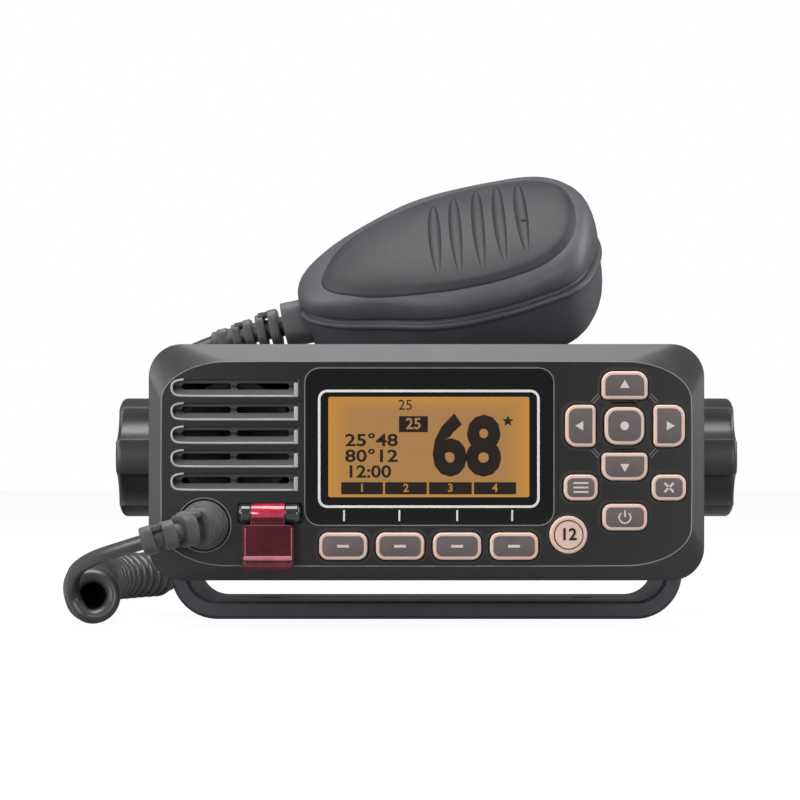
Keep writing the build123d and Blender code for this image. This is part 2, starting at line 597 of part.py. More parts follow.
def make_distress_cover():
    back = COVER_FRONT + COVER_THICKNESS
    cover = block(COVER_X, COVER_Z, COVER_FRONT, -COVER_FACE_GAP, COVER_CORNER_RADIUS)
    inside_x = (COVER_X[0] + COVER_WALL, COVER_X[1] - COVER_WALL)
    inside_z = (COVER_Z[0] + COVER_WALL, COVER_Z[1] + COVER_NECK_OVERLAP)
    cover -= block(inside_x, inside_z, back, -COVER_FACE_GAP)
    neck_z = (COVER_Z[1] - COVER_NECK_OVERLAP, HINGE_Z - COVER_NECK_OVERLAP)
    cover += block(KNUCKLE_X, neck_z, COVER_FRONT + COVER_NECK_SETBACK, back)
    cover += barrel(KNUCKLE_X, HINGE_RADIUS)
    return cover - barrel(KNUCKLE_X, HINGE_PIN_RADIUS + PIN_CLEARANCE)


def make_pressed(outline, front):
    """A key or button: its cap through the face and its flange behind it."""
    cap = slab(outline, front, FLANGE_FRONT_OF_KEYS + KEY_FLANGE_THICKNESS / 2)
    rims = cap.faces().sort_by(Axis.Y)[0].edges()
    cap = fillet(rims, KEY_EDGE_RADIUS)
    return cap + slab(offset(outline, KEY_FLANGE), FLANGE_FRONT_OF_KEYS, KEY_BACK)


# ---- display, mat, boards ----
def make_lcd():
    x_range = (APERTURE_X[0] + LCD_MARGIN, APERTURE_X[1] - LCD_MARGIN)
    z_range = (APERTURE_Z[0] + LCD_MARGIN, APERTURE_Z[1] - LCD_MARGIN)
    glass_back = WINDOW_THICKNESS + LCD_THICKNESS
    glass = block(x_range, z_range, WINDOW_THICKNESS, glass_back, LCD_CORNER_RADIUS)
    guide = block(x_range, z_range, glass_back, BOARD_FRONT, LCD_CORNER_RADIUS)
    return glass, guide


def board_outline(shrink):
    x0, x1 = BOARD_LEFT + shrink, BOARD_RIGHT - shrink
    z0, z1 = BOARD_BOTTOM + shrink, BOARD_TOP - shrink
    step_x, step_z = BOARD_STEP_X + shrink, BOARD_STEP_Z - shrink
    outline = make_face(Polyline((x0, z0), (x1, z0), (x1, z1), (step_x, z1), (step_x, step_z),
                                 (x0, step_z), close=True))
    return outline


def make_mat():
    mat = slab(board_outline(MAT_MARGIN), MAT_FRONT, BOARD_FRONT)
    hole_x = (APERTURE_X[0] - MAT_WINDOW_GAP, APERTURE_X[1] + MAT_WINDOW_GAP)
    hole_z = (APERTURE_Z[0] - MAT_WINDOW_GAP, APERTURE_Z[1] + MAT_WINDOW_GAP)
    mat -= block(hole_x, hole_z, MAT_FRONT, BOARD_FRONT)
    for x, z in BOARD_BOSS_PLACES:
        mat -= along_y(rod(BOARD_BOSS_RADIUS + INSERT_CLEARANCE, MAT_THICKNESS), x, z, MAT_FRONT)
    return mat


def make_front_board():
    board = slab(board_outline(0), BOARD_FRONT, BOARD_BACK)
    for x, z in BOARD_BOSS_PLACES:
        board -= along_y(rod(SMALL_SCREW_RADIUS + SCREW_CLEARANCE, BOARD_THICKNESS), x, z, BOARD_FRONT)
    return board


def make_speaker():
    back = FACE_THICKNESS + SPEAKER_RIM_THICKNESS + BASKET_DEPTH
    base = (Align.CENTER, Align.CENTER, Align.MIN)
    inner_radius = SPEAKER_RADIUS - SPEAKER_RIM_WIDTH
    rim = tube(SPEAKER_RADIUS, inner_radius, SPEAKER_RIM_THICKNESS)
    outer = Pos(0, 0, SPEAKER_RIM_THICKNESS) * Cone(
        inner_radius + BASKET_WALL, MAGNET_RADIUS, BASKET_DEPTH, align=base)
    inner = Pos(0, 0, SPEAKER_RIM_THICKNESS) * Cone(
        inner_radius, MAGNET_RADIUS - BASKET_WALL, BASKET_DEPTH - BASKET_WALL, align=base)
    frame = along_y(rim + outer - inner, SPEAKER_X, SPEAKER_Z, FACE_THICKNESS)
    frame += along_y(rod(MAGNET_RADIUS, MAGNET_THICKNESS), SPEAKER_X, SPEAKER_Z, back)
    edge = inner_radius - CONE_EDGE_GAP
    front_line = [(0, DUST_CAP_DEPTH), (DUST_CAP_RADIUS, CONE_NECK_DEPTH),
                  (edge - CONE_SURROUND_WIDTH, CONE_RIM_DEPTH), (edge, CONE_RIM_DEPTH)]
    back_line = [(radius, depth + CONE_THICKNESS) for radius, depth in front_line[::-1]]
    profile = make_face(Polyline(*front_line, *back_line, close=True))
    cone = along_y(revolve(Plane.XZ * profile, Axis.Z), SPEAKER_X, SPEAKER_Z, FACE_THICKNESS)
    return frame, cone


def make_seal():
    ring = panel_outline(FLANGE_INSET) - panel_outline(PANEL_WALL)
    return slab(ring, PANEL_DEPTH, SEAL_BACK)


# ---- chassis and what it carries ----
def main_board_rect(height_front, height_back):
    """The main board's footprint in X and Y, between two heights."""
    y0 = PANEL_Y + MAIN_BOARD_FRONT
    y1 = PANEL_Y + REAR_WALL_FRONT - MAIN_BOARD_REAR_GAP
    size = (2 * MAIN_BOARD_SIDE, y1 - y0, height_back - height_front)
    return Pos(0, (y0 + y1) / 2, (height_front + height_back) / 2) * Box(*size)


def board_post_places():
    x = MAIN_BOARD_SIDE - BOARD_POST_INSET
    y0 = PANEL_Y + MAIN_BOARD_FRONT + BOARD_POST_INSET
    y1 = PANEL_Y + REAR_WALL_FRONT - MAIN_BOARD_REAR_GAP - BOARD_POST_INSET
    return [(sx * x, y) for sx in (-1, 1) for y in (y0, y1)]


def make_chassis():
    chassis = slab(panel_outline(FLANGE_INSET), SEAL_BACK, FLANGE_BACK)
    body = Pos(0, CHASSIS_MID_Z) * RectangleRounded(CHASSIS_WIDTH, CHASSIS_HEIGHT, CHASSIS_CORNER_RADIUS)
    chassis += slab(body, FLANGE_BACK, REAR_FACE)
    for number in range(FIN_COUNT):
        x = (number - (FIN_COUNT - 1) / 2) * FIN_PITCH
        z_range = (CHASSIS_BOTTOM + FIN_MARGIN, CHASSIS_TOP - FIN_MARGIN)
        chassis += block((x - FIN_THICKNESS / 2, x + FIN_THICKNESS / 2), z_range, REAR_FACE, FIN_BACK)
    inlet_mid = sum(x for x, _ in INLETS.values()) / len(INLETS)
    bay_x = (inlet_mid - REAR_INLET_BAY[0] / 2, inlet_mid + REAR_INLET_BAY[0] / 2)
    bay_z = (CHASSIS_BOTTOM, CHASSIS_BOTTOM + REAR_INLET_BAY[1])
    chassis -= block(bay_x, bay_z, REAR_FACE, FIN_BACK)
    chassis += along_y(rod(SOCKET_PAD_RADIUS, FIN_DEPTH), SOCKET_X, SOCKET_Z, REAR_FACE)
    hollow = Pos(0, CHASSIS_MID_Z) * RectangleRounded(
        CHASSIS_WIDTH - 2 * CHASSIS_WALL, CHASSIS_HEIGHT - 2 * CHASSIS_WALL, CHASSIS_INNER_RADIUS)
    chassis -= slab(hollow, SEAL_BACK, REAR_WALL_FRONT)
    for side in (-1, 1):
        chassis += along_x(rod(PIVOT_PAD_RADIUS, PIVOT_PAD_HEIGHT), side, CHASSIS_SIDE)
        inner_end = CHASSIS_SIDE + PIVOT_PAD_HEIGHT - BUSH_LENGTH
        boss_length = CHASSIS_SIDE - CHASSIS_WALL / 2 - inner_end
        chassis += along_x(rod(BUSH_BOSS_RADIUS, boss_length), side, inner_end)
        chassis -= along_x(rod(BUSH_RADIUS, BUSH_LENGTH), side, inner_end)
    for x, y in board_post_places():
        post_base = CHASSIS_BOTTOM + CHASSIS_WALL / 2
        chassis += Pos(x, y, post_base) * rod(BOARD_POST_RADIUS, MAIN_BOARD_Z - post_base)
        bore_length = MAIN_BOARD_RISE
        chassis -= Pos(x, y, MAIN_BOARD_Z - bore_length) * rod(SCREW_RADIUS + SCREW_CLEARANCE, bore_length)
    for x, z in PANEL_SCREW_PLACES:
        hole = rod(PANEL_SCREW_RADIUS + SCREW_CLEARANCE, FLANGE_THICKNESS)
        chassis -= along_y(hole, x, z, SEAL_BACK)
    chassis -= along_y(rod(SOCKET_RADIUS + SOCKET_CLEARANCE, FIN_BACK - REAR_WALL_FRONT), SOCKET_X, SOCKET_Z,
                       REAR_WALL_FRONT)
    for x, bore in INLETS.values():
        chassis -= along_y(rod(bore + REAR_GLAND_WALL, CHASSIS_REAR_WALL), x, REAR_INLET_Z, REAR_WALL_FRONT)
    return chassis


def make_shield():
    width, depth, height = SHIELD_SIZE
    centre_y = PANEL_Y + REAR_WALL_FRONT - SHIELD_BACK_GAP - depth / 2
    base = (Align.CENTER, Align.CENTER, Align.MIN)
    can = Box(width, depth, height, align=base)
    can -= Box(width - 2 * SHIELD_WALL, depth - 2 * SHIELD_WALL, height - SHIELD_WALL, align=base)
    return Pos(SHIELD_CENTRE_X, centre_y, MAIN_BOARD_TOP) * can


def make_power_module():
    width, depth, height = MODULE_SIZE
    centre_y = PANEL_Y + REAR_WALL_FRONT - depth / 2
    module = Box(width, depth, height, align=(Align.CENTER, Align.CENTER, Align.MIN))
    return Pos(MODULE_CENTRE_X, centre_y, MAIN_BOARD_TOP) * module


def make_ribbon():
    """The flat cable from the front board's back down to the main board's top."""
    start_y = PANEL_Y + BOARD_BACK + RIBBON_THICKNESS / 2
    end_y = PANEL_Y + MAIN_BOARD_FRONT + RIBBON_RUN
    low_z = MAIN_BOARD_TOP + RIBBON_THICKNESS / 2
    path = FilletPolyline((start_y, low_z + RIBBON_RUN), (start_y, low_z), (end_y, low_z), radius=RIBBON_BEND)
    ribbon = extrude(Plane.YZ * trace(path, RIBBON_THICKNESS), amount=RIBBON_WIDTH / 2, both=True)
    return Pos(RIBBON_X, 0, 0) * ribbon


def screw(radius, length, head_radius, head_height):
    """A screw that points down -Z with the underside of its head at zero."""
    return rod(head_radius, head_height) + Pos(0, 0, -length) * rod(radius, length)


def make_board_screws():
    screws = []
    for x, y in board_post_places():
        length = BOARD_THICKNESS + MAIN_BOARD_RISE - SCREW_TIP_GAP
        solid = screw(SCREW_RADIUS, length, SCREW_HEAD_RADIUS, SCREW_HEAD_HEIGHT)
        screws.append(Pos(x, y, MAIN_BOARD_TOP) * solid)
    for x, z in BOARD_BOSS_PLACES:
        length = BOARD_BACK - FACE_THICKNESS - SMALL_SCREW_TIP_GAP
        solid = screw(SMALL_SCREW_RADIUS, length, SMALL_SCREW_HEAD_RADIUS, SMALL_SCREW_HEAD_HEIGHT)
        screws.append(along_y(solid, x, z, BOARD_BACK))
    return Compound(children=screws)


def make_panel_screws():
    length = FLANGE_BACK - FACE_THICKNESS - BEVEL_DEPTH - SCREW_TIP_GAP
    solid = screw(PANEL_SCREW_RADIUS, length, PANEL_SCREW_HEAD_RADIUS, PANEL_SCREW_HEAD_HEIGHT)
    width, thickness, depth = SCREW_DRIVE
    recess = Box(width, thickness, depth) + Box(thickness, width, depth)
    solid -= Pos(0, 0, PANEL_SCREW_HEAD_HEIGHT) * recess
    return Compound(children=[along_y(solid, x, z, FLANGE_BACK) for x, z in PANEL_SCREW_PLACES])


def make_socket():
    length = SOCKET_IN + CHASSIS_REAR_WALL + FIN_DEPTH + SOCKET_OUT
    socket = rod(SOCKET_RADIUS, length)
    ring = tube(SOCKET_RADIUS - SOCKET_WALL, CONTACT_RADIUS, SOCKET_DEPTH)
    socket -= Pos(0, 0, length - SOCKET_DEPTH) * ring
    socket -= Pos(0, 0, length - SOCKET_DEPTH) * rod(CONTACT_BORE, SOCKET_DEPTH)
    relief = tube(SOCKET_RADIUS, SOCKET_RELIEF_RADIUS, SOCKET_RELIEF_LENGTH)
    socket -= Pos(0, 0, length - SOCKET_OUT + NUT_THICKNESS) * relief
    nut = extrude(RegularPolygon(NUT_ACROSS_FLATS / 2, 6, major_radius=False), amount=NUT_THICKNESS)
    nut -= rod(SOCKET_RADIUS + SOCKET_CLEARANCE / 2, NUT_THICKNESS)
    start = REAR_WALL_FRONT - SOCKET_IN
    return along_y(socket, SOCKET_X, SOCKET_Z, start), along_y(nut, SOCKET_X, SOCKET_Z, FIN_BACK)


def make_rear_gland(x, bore):
    neck = bore + REAR_GLAND_WALL
    lip = neck + REAR_GLAND_LIP
    gland = rod(lip, REAR_GLAND_LIP_THICKNESS)
    gland += Pos(0, 0, REAR_GLAND_LIP_THICKNESS) * rod(neck, CHASSIS_REAR_WALL)
    gland += Pos(0, 0, REAR_GLAND_LIP_THICKNESS + CHASSIS_REAR_WALL) * rod(lip, REAR_GLAND_LIP_THICKNESS)
    spout_start = 2 * REAR_GLAND_LIP_THICKNESS + CHASSIS_REAR_WALL
    spout = Cone(neck + SPOUT_FLARE, neck - SPOUT_TAPER, REAR_GLAND_SPOUT,
                 align=(Align.CENTER, Align.CENTER, Align.MIN))
    gland += Pos(0, 0, spout_start) * spout
    gland -= rod(bore, spout_start + REAR_GLAND_SPOUT)
    return along_y(gland, x, REAR_INLET_Z, REAR_WALL_FRONT - REAR_GLAND_LIP_THICKNESS)


# ---- knobs and pivots ----
def make_knob(side):
    knob = rod(KNOB_RADIUS, KNOB_LENGTH)
    for lobe in range(KNOB_LOBES):
        angle = 360 / KNOB_LOBES * (lobe + 0.5) - 90
        reach = KNOB_RADIUS - FLUTE_DEPTH + FLUTE_RADIUS
        knob -= Rot(0, 0, angle) * Pos(reach, 0, 0) * rod(FLUTE_RADIUS, KNOB_LENGTH)
    outer_rim = knob.faces().sort_by(Axis.Z)[-1].edges()
    knob = fillet(outer_rim, KNOB_EDGE_RADIUS)
    knob -= rod(STUD_RADIUS + STUD_RUN_CLEARANCE, STUD_INSET)
    return along_x(knob, side, YOKE_OUTER_SIDE + KNOB_GAP)


def make_stud(side):
    length = STUD_INSET + KNOB_GAP + STUD_REACH
    return along_x(rod(STUD_RADIUS, length), side, YOKE_OUTER_SIDE - STUD_REACH)


def make_bushes():
    bush = tube(BUSH_RADIUS, STUD_RADIUS + STUD_RUN_CLEARANCE, BUSH_LENGTH)
    inner_end = CHASSIS_SIDE + PIVOT_PAD_HEIGHT - BUSH_LENGTH
    return Compound(children=[along_x(bush, side, inner_end) for side in (-1, 1)])


def make_washers():
    thickness = SIDE_GAP - PIVOT_PAD_HEIGHT - WASHER_RUN_GAP
    washer = tube(PIVOT_PAD_RADIUS, BUSH_RADIUS, thickness)
    return Compound(children=[along_x(washer, side, CHASSIS_SIDE + PIVOT_PAD_HEIGHT) for side in (-1, 1)])


# ---- cord inlet on the panel ----
def make_cord_gland():
    start = INLET_RECESS_DEPTH
    sleeve = rod(INLET_HOLE_RADIUS - INSERT_CLEARANCE, GLAND_LENGTH)
    nut = Pos(0, 0, FACE_THICKNESS - start) * rod(GLAND_NUT_RADIUS, GLAND_NUT_THICKNESS)
    gland = sleeve + nut - rod(CORD_DIAMETER / 2, GLAND_LENGTH)
    return along_y(gland, INLET_X, INLET_Z, start)


def make_panel_boot():
    """A domed root in the recess and a bent neck that ends at the cord."""
    dome = rod(BOOT_BASE_RADIUS, BOOT_BASE_LENGTH)
    dome = fillet(dome.faces().sort_by(Axis.Z)[-1].edges(), BOOT_DOME_RADIUS)
    root = Pos(INLET_X, PANEL_Y + INLET_RECESS_DEPTH, INLET_Z) * Rot(90, 0, 0) * dome
    neck_start = (INLET_X, PANEL_Y - BOOT_BASE_LENGTH / 2, INLET_Z)
    path = FilletPolyline(neck_start, BOOT_BEND, BOOT_TIP, radius=BOOT_BEND_RADIUS)
    return root + sweep(Plane(origin=neck_start, z_dir=path % 0) * Circle(BOOT_NECK_RADIUS), path=path)


# ---- microphone ----
def mic_plane():
    """The microphone's own plane: X is U, Y is V and the normal is W."""
    roll = math.radians(MIC_ROLL)
    lean = math.radians(MIC_LEAN)
    u_axis = Vector(math.cos(roll), 0, math.sin(roll))
    w_axis = Vector(-math.cos(lean) * math.sin(roll), -math.sin(lean), math.cos(lean) * math.cos(roll))
    return Plane(origin=MIC_CENTRE, x_dir=u_axis, z_dir=w_axis)


def mic_outline(inset):
    """The case's outline seen along W, drawn in by an inset at its ends and sides."""
    u_values = [u for u, _ in MIC_OUTLINE]
    middle = (min(u_values) + max(u_values)) / 2
    u_scale = 1 - inset / (max(u_values) - middle)
    v_scale = 1 - inset / MIC_HALF_WIDTH
    upper = [(middle + (u - middle) * u_scale, v * v_scale) for u, v in MIC_OUTLINE]
    lower = [(u, -v) for u, v in upper[-2:0:-1]]
    return make_face(Spline(*upper, *lower, periodic=True))


def mic_prism(inset, height, rounding):
    """The case's outline carried up W, drawn in as it rounds over to its face."""
    sections = []
    for share, drawn_in in rounding:
        sections.append(Plane.XY.offset(height * share) * mic_outline(inset + drawn_in))
    return loft(sections, ruled=True)


def mic_half(height, rounding):
    """One hollow half of the case, rounded over away from the parting plane."""
    return mic_prism(0, height, rounding) - mic_prism(MIC_WALL, height - MIC_WALL, rounding)


def mic_crown(drop):
    """All that lies under the front's crowned face, lowered by a drop."""
    reach = max(u for u, _ in MIC_OUTLINE) - min(u for u, _ in MIC_OUTLINE)
    across = Pos(0, CROWN_TOP_V, MIC_FRONT_HEIGHT - CROWN_ACROSS_RADIUS) * Rot(0, 90, 0) * Cylinder(
        CROWN_ACROSS_RADIUS - drop, 2 * reach)
    along = Pos(CROWN_TOP_U, 0, MIC_FRONT_HEIGHT - CROWN_ALONG_RADIUS) * Rot(90, 0, 0) * Cylinder(
        CROWN_ALONG_RADIUS - drop, 2 * reach)
    along += Pos(CROWN_TOP_U, 0, MIC_FRONT_HEIGHT - drop) * Box(
        reach, 2 * reach, CROWN_ALONG_RADIUS, align=(Align.MIN, Align.CENTER, Align.MAX))
    return across & along


def mic_front(inset):
    """The crowned front half as a solid, drawn in all round by an inset."""
    prism = mic_prism(inset, MIC_FRONT_HEIGHT + CROWN_MARGIN - inset, MIC_FRONT_ROUNDING)
    return prism & mic_crown(inset)


def beyond_v(middle, length, height, v):
    """A block at the height of the side buttons that reaches from V out past the case."""
    solid = Box(length, MIC_HALF_WIDTH, height, align=(Align.CENTER, Align.MIN, Align.CENTER))
    return Pos(middle, v, MIC_BUTTON_W) * solid


def side_button(middle, length, height, proud):
    """A button that follows the case's side and stands out from it."""
    contour = extrude(mic_outline(-proud), amount=height)
    return beyond_v(middle, length, height, MIC_BUTTON_V) & Pos(0, 0, MIC_BUTTON_W - height / 2) * contour


def mic_boot_solid(extra):
    """The tapered boot between the case's narrow end and the cord, in the part's own frame."""
    start = mic_plane().from_local_coords(Vector(*MIC_BOOT_START))
    direction = Vector(*MIC_BOOT_TIP) - start
    cone = Cone(MIC_BOOT_RADII[0] + extra, MIC_BOOT_RADII[1] + extra, direction.length,
                align=(Align.CENTER, Align.CENTER, Align.MIN))
    return Plane(origin=start, z_dir=direction) * cone


def make_microphone():
    """Every piece of the microphone by node name, in the part's own frame."""
    front = mic_front(0) - mic_front(MIC_WALL)
    for number in range(MIC_SLOT_COUNT):
        slot = SlotOverall(MIC_SLOT_LENGTH, MIC_SLOT_WIDTH, rotation=90)
        slot_u = MIC_SLOT_FIRST + number * MIC_SLOT_PITCH
        place = Pos(slot_u, MIC_SLOT_MIDDLE_V, 0)
        front -= place * extrude(slot, amount=MIC_FRONT_HEIGHT) - mic_crown(MIC_SLOT_DEPTH)
    rear = mirror(mic_half(MIC_REAR_HEIGHT, MIC_REAR_ROUNDING), about=Plane.XY)
    rear_face = -MIC_REAR_HEIGHT
    board = Pos(0, 0, MIC_BOARD_W) * extrude(mic_outline(MIC_BOARD_INSET), amount=BOARD_THICKNESS)
    pieces = {}
    for name, (middle, length, height, proud, travel) in MIC_SIDE_BUTTONS.items():
        pieces[name] = side_button(middle, length, height, proud)
        floor_v = MIC_BUTTON_V - travel - MIC_BUTTON_GAP
        pocket = beyond_v(middle, length + 2 * MIC_BUTTON_GAP, height + 2 * MIC_BUTTON_GAP, floor_v)
        front -= pocket
        rear -= pocket
        board -= beyond_v(middle, length + 2 * MIC_BOARD_INSET, height, floor_v - MIC_BOARD_CLEARANCE)
    boot_end = MIC_BOOT_START[0] + MIC_BOARD_BOOT_GAP
    board -= Pos(boot_end, 0, MIC_BOARD_W) * Box(
        MIC_HALF_WIDTH, 2 * MIC_HALF_WIDTH, BOARD_THICKNESS, align=(Align.MAX, Align.CENTER, Align.MIN))
    off_top = abs(ELEMENT_PLACE[1] - CROWN_TOP_V) + ELEMENT_RADIUS
    fall = CROWN_ACROSS_RADIUS - math.sqrt(CROWN_ACROSS_RADIUS ** 2 - off_top ** 2)
    element_base = MIC_FRONT_HEIGHT - MIC_WALL - fall - ELEMENT_CROWN_GAP - ELEMENT_LENGTH
    pieces["mic_element"] = Pos(*ELEMENT_PLACE, element_base) * rod(ELEMENT_RADIUS, ELEMENT_LENGTH)
    hanger = Pos(HANGER_U, 0, rear_face - HANGER_STUD_LENGTH) * rod(HANGER_STUD_RADIUS, HANGER_STUD_LENGTH)
    head = rod(HANGER_HEAD_RADIUS, HANGER_HEAD_THICKNESS)
    hanger += Pos(HANGER_U, 0, rear_face - HANGER_STUD_LENGTH - HANGER_HEAD_THICKNESS) * head
    pieces["mic_hanger_button"] = hanger
    screws = []
    for u, v in MIC_SCREW_PLACES:
        solid = Rot(180, 0, 0) * screw(SCREW_RADIUS, MIC_SCREW_LENGTH, SCREW_HEAD_RADIUS, SCREW_HEAD_HEIGHT)
        placed = Pos(u, v, rear_face + SCREW_HEAD_HEIGHT) * solid
        screws.append(placed)
        rear += Pos(u, v, rear_face + MIC_WALL / 2) * rod(MIC_TOWER_RADIUS, MIC_REAR_HEIGHT - MIC_WALL / 2)
        rear -= Pos(u, v, rear_face) * rod(SCREW_HEAD_RADIUS + SCREW_CLEARANCE, SCREW_HEAD_HEIGHT)
        front += Pos(u, v, 0) * rod(MIC_TOWER_RADIUS, MIC_FRONT_HEIGHT) & mic_crown(MIC_WALL / 2)
        bore_length = MIC_SCREW_LENGTH + SCREW_HEAD_HEIGHT
        bore = Pos(u, v, rear_face) * rod(SCREW_RADIUS + SCREW_CLEARANCE, bore_length)
        rear -= bore
        front -= bore
        board -= Pos(u, v, MIC_BOARD_W) * rod(MIC_TOWER_RADIUS + MIC_TOWER_BOARD_GAP, BOARD_THICKNESS)
    pieces["mic_board"] = board
    pieces["mic_screws"] = Compound(children=screws)
    pieces["mic_front_shell"] = front
    pieces["mic_rear_shell"] = rear
    placed = {name: mic_plane() * solid for name, solid in pieces.items()}
    cutter = mic_boot_solid(STUD_RUN_CLEARANCE)
    placed["mic_front_shell"] -= cutter
    placed["mic_rear_shell"] -= cutter
    placed["mic_rear_shell"] -= Pos(0, 0, CHASSIS_TOP + MIC_REST_GAP) * Box(
        PANEL_WIDTH, CHASSIS_BODY_DEPTH, CHASSIS_HEIGHT, align=(Align.CENTER, Align.CENTER, Align.MAX))
    placed["mic_boot"] = mic_boot_solid(0)
    return placed


# ---- all nodes ----
def make_nodes():
    nodes = {"bracket": make_yoke(), "front_panel": make_panel(), "chassis": make_chassis()}
    window_x = (WINDOW_X[0] + INSERT_CLEARANCE, WINDOW_X[1] - INSERT_CLEARANCE)
    window_z = (WINDOW_Z[0] + INSERT_CLEARANCE, WINDOW_Z[1] - INSERT_CLEARANCE)
    nodes["display_window"] = block(window_x, window_z, 0, WINDOW_THICKNESS, WINDOW_CORNER_RADIUS)
    nodes["lcd_panel"], nodes["light_guide"] = make_lcd()
    nodes["keypad_mat"] = make_mat()
    nodes["front_board"] = make_front_board()
    nodes["speaker_frame"], nodes["speaker_cone"] = make_speaker()
    nodes["panel_seal"] = make_seal()
    nodes["main_board"] = main_board_rect(MAIN_BOARD_Z, MAIN_BOARD_TOP)
    for x, y in board_post_places():
        hole = Pos(x, y, MAIN_BOARD_Z) * rod(SCREW_RADIUS + SCREW_CLEARANCE, BOARD_THICKNESS)
        nodes["main_board"] -= hole
    nodes["shield_can"] = make_shield()
    nodes["power_module"] = make_power_module()
    nodes["ribbon_cable"] = make_ribbon()
    nodes["board_screws"] = make_board_screws()
    nodes["panel_screws"] = make_panel_screws()
    nodes["antenna_socket"], nodes["antenna_nut"] = make_socket()
    for name, (x, bore) in INLETS.items():
        nodes[name] = make_rear_gland(x, bore)
    nodes["pivot_bushes"] = make_bushes()
    nodes["friction_washers"] = make_washers()
    for name, side in (("left", -1), ("right", 1)):
        nodes[f"knob_{name}"] = make_knob(side)
        nodes[f"knob_stud_{name}"] = make_stud(side)
    nodes["hinge_ears"] = make_hinge_ears()
    nodes["hinge_pin"] = barrel(PIN_X, HINGE_PIN_RADIUS)
    nodes["distress_cover"] = make_distress_cover()
    nodes["distress_button"] = make_pressed(button_outline(), COVER_FRONT + COVER_THICKNESS + HINGE_RUN_GAP)
    for name, outline in key_outlines().items():
        nodes[name] = make_pressed(outline, -KEY_RISE)
    nodes["cord_gland"] = make_cord_gland()
    nodes["panel_boot"] = make_panel_boot()
    nodes["cord_front_tail"] = route_tube("cord_front_tail", FRONT_TAIL_ROUTE, CORD_DIAMETER)
    nodes["cord_coil"] = route_tube("cord_coil", COIL_ROUTE, COIL_DIAMETER)
    nodes["cord_rise"] = route_tube("cord_rise", RISE_ROUTE, CORD_DIAMETER)
    nodes["cord_mic_tail"] = route_tube("cord_mic_tail", MIC_TAIL_ROUTE, CORD_DIAMETER)
    nodes.update(make_microphone())
    return nodes


def main():
    os.makedirs("parts", exist_ok=True)
    for name, solid in make_nodes().items():
        export_step(solid, f"parts/{name}.step")


main()
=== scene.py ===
import math

import bpy
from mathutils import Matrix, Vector


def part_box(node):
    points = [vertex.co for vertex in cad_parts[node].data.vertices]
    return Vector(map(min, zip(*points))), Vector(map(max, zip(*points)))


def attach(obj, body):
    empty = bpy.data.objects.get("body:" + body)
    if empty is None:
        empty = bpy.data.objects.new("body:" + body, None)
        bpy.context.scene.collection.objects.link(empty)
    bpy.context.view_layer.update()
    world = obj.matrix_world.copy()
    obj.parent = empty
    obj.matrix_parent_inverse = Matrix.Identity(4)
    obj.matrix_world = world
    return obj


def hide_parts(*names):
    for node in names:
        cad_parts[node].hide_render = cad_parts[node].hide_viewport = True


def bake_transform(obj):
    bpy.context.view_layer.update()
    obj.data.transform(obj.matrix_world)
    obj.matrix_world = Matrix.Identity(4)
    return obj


bl_info = {
    "name": "Marine radio in a yoke",
    "version": (1, 0, 0),
    "blender": (4, 5, 0),
    "location": "View3D > Sidebar > Radio",
    "description": "Finishes a marine radio, its microphone and its curly cord around their solid frame",
    "category": "Object",
}

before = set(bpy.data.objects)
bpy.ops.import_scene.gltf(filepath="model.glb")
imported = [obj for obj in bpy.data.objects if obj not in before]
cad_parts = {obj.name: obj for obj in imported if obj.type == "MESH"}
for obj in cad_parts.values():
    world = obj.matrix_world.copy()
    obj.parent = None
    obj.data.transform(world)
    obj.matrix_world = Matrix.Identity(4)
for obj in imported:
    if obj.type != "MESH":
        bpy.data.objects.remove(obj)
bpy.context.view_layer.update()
MM = 0.001

# ---- places and sizes that the frame's solids have too, in metres ----
PANEL_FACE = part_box("front_panel")[0].y
KEY_FLANGE = 0.8 * MM
MIC_CENTRE = Vector((4.5, -22.0, 104.85)) * MM
MIC_ROLL = math.radians(13.0)
MIC_LEAN = math.radians(34.0)
# the microphone's own directions: along it to its top, across it, and out of its face
MIC_U = Vector((math.cos(MIC_ROLL), 0, math.sin(MIC_ROLL)))
MIC_W = Vector((-math.cos(MIC_LEAN) * math.sin(MIC_ROLL), -math.sin(MIC_LEAN),
                math.cos(MIC_LEAN) * math.cos(MIC_ROLL)))
MIC_V = MIC_W.cross(MIC_U)
CHASSIS_TOP = 76.0 * MM

# ---- the cord's route, as its solids have it, in millimetres ----
BOOT_NECK = [(-62.3, -68.5, 29.4), (-64.0, -79.0, 28.9), (-76.7, -78.2, 25.3)]
FRONT_TAIL_ROUTE = [(-76.7, -78.2, 25.3), (-86.5, -72.5, 22.4), (-95.0, -63.0, 19.6),
                    (-101.2, -53.0, 15.6), (-103.0, -44.0, 9.0)]
# the coil's axis
COIL_ROUTE = [(-96.5, -45.5, 8.3), (-106, 4, 8.3), (-112, 50, 8.3), (-106, 84, 8.3), (-85, 108, 8.3)]
RISE_ROUTE = [(-85, 108, 8.3), (-76.37, 117.86, 8.3), (-64, 124.5, 9.0), (-51, 120, 10.2), (-44.5, 108, 12),
              (-47, 93, 15.5), (-56, 77, 22), (-66.5, 61.5, 31.5), (-76, 46.5, 43)]
MIC_TAIL_ROUTE = [(-76, 46.5, 43), (-84.5, 30, 54), (-87.5, 14.5, 69.5), (-78.43, -3.65, 79.80),
                  (-65.07, -8.90, 84.16)]
MIC_BOOT_LINE = [(-33.7, -18.4, 90.5), (-49.0, -13.8, 87.4), (-64.8, -9.0, 84.25)]

# half-widths of the microphone's case along its length, from cord end to top, in millimetres
MIC_OUTLINE = ((-43.8, 0), (-42.8, 6.5), (-36, 13.7), (-20, 21.7), (-4, 28.8), (12, 30.3), (28, 28.2),
               (37, 25.3), (43.7, 16.5), (47.9, 0))
MIC_MIDDLE = Vector((1.5, 0, 0))
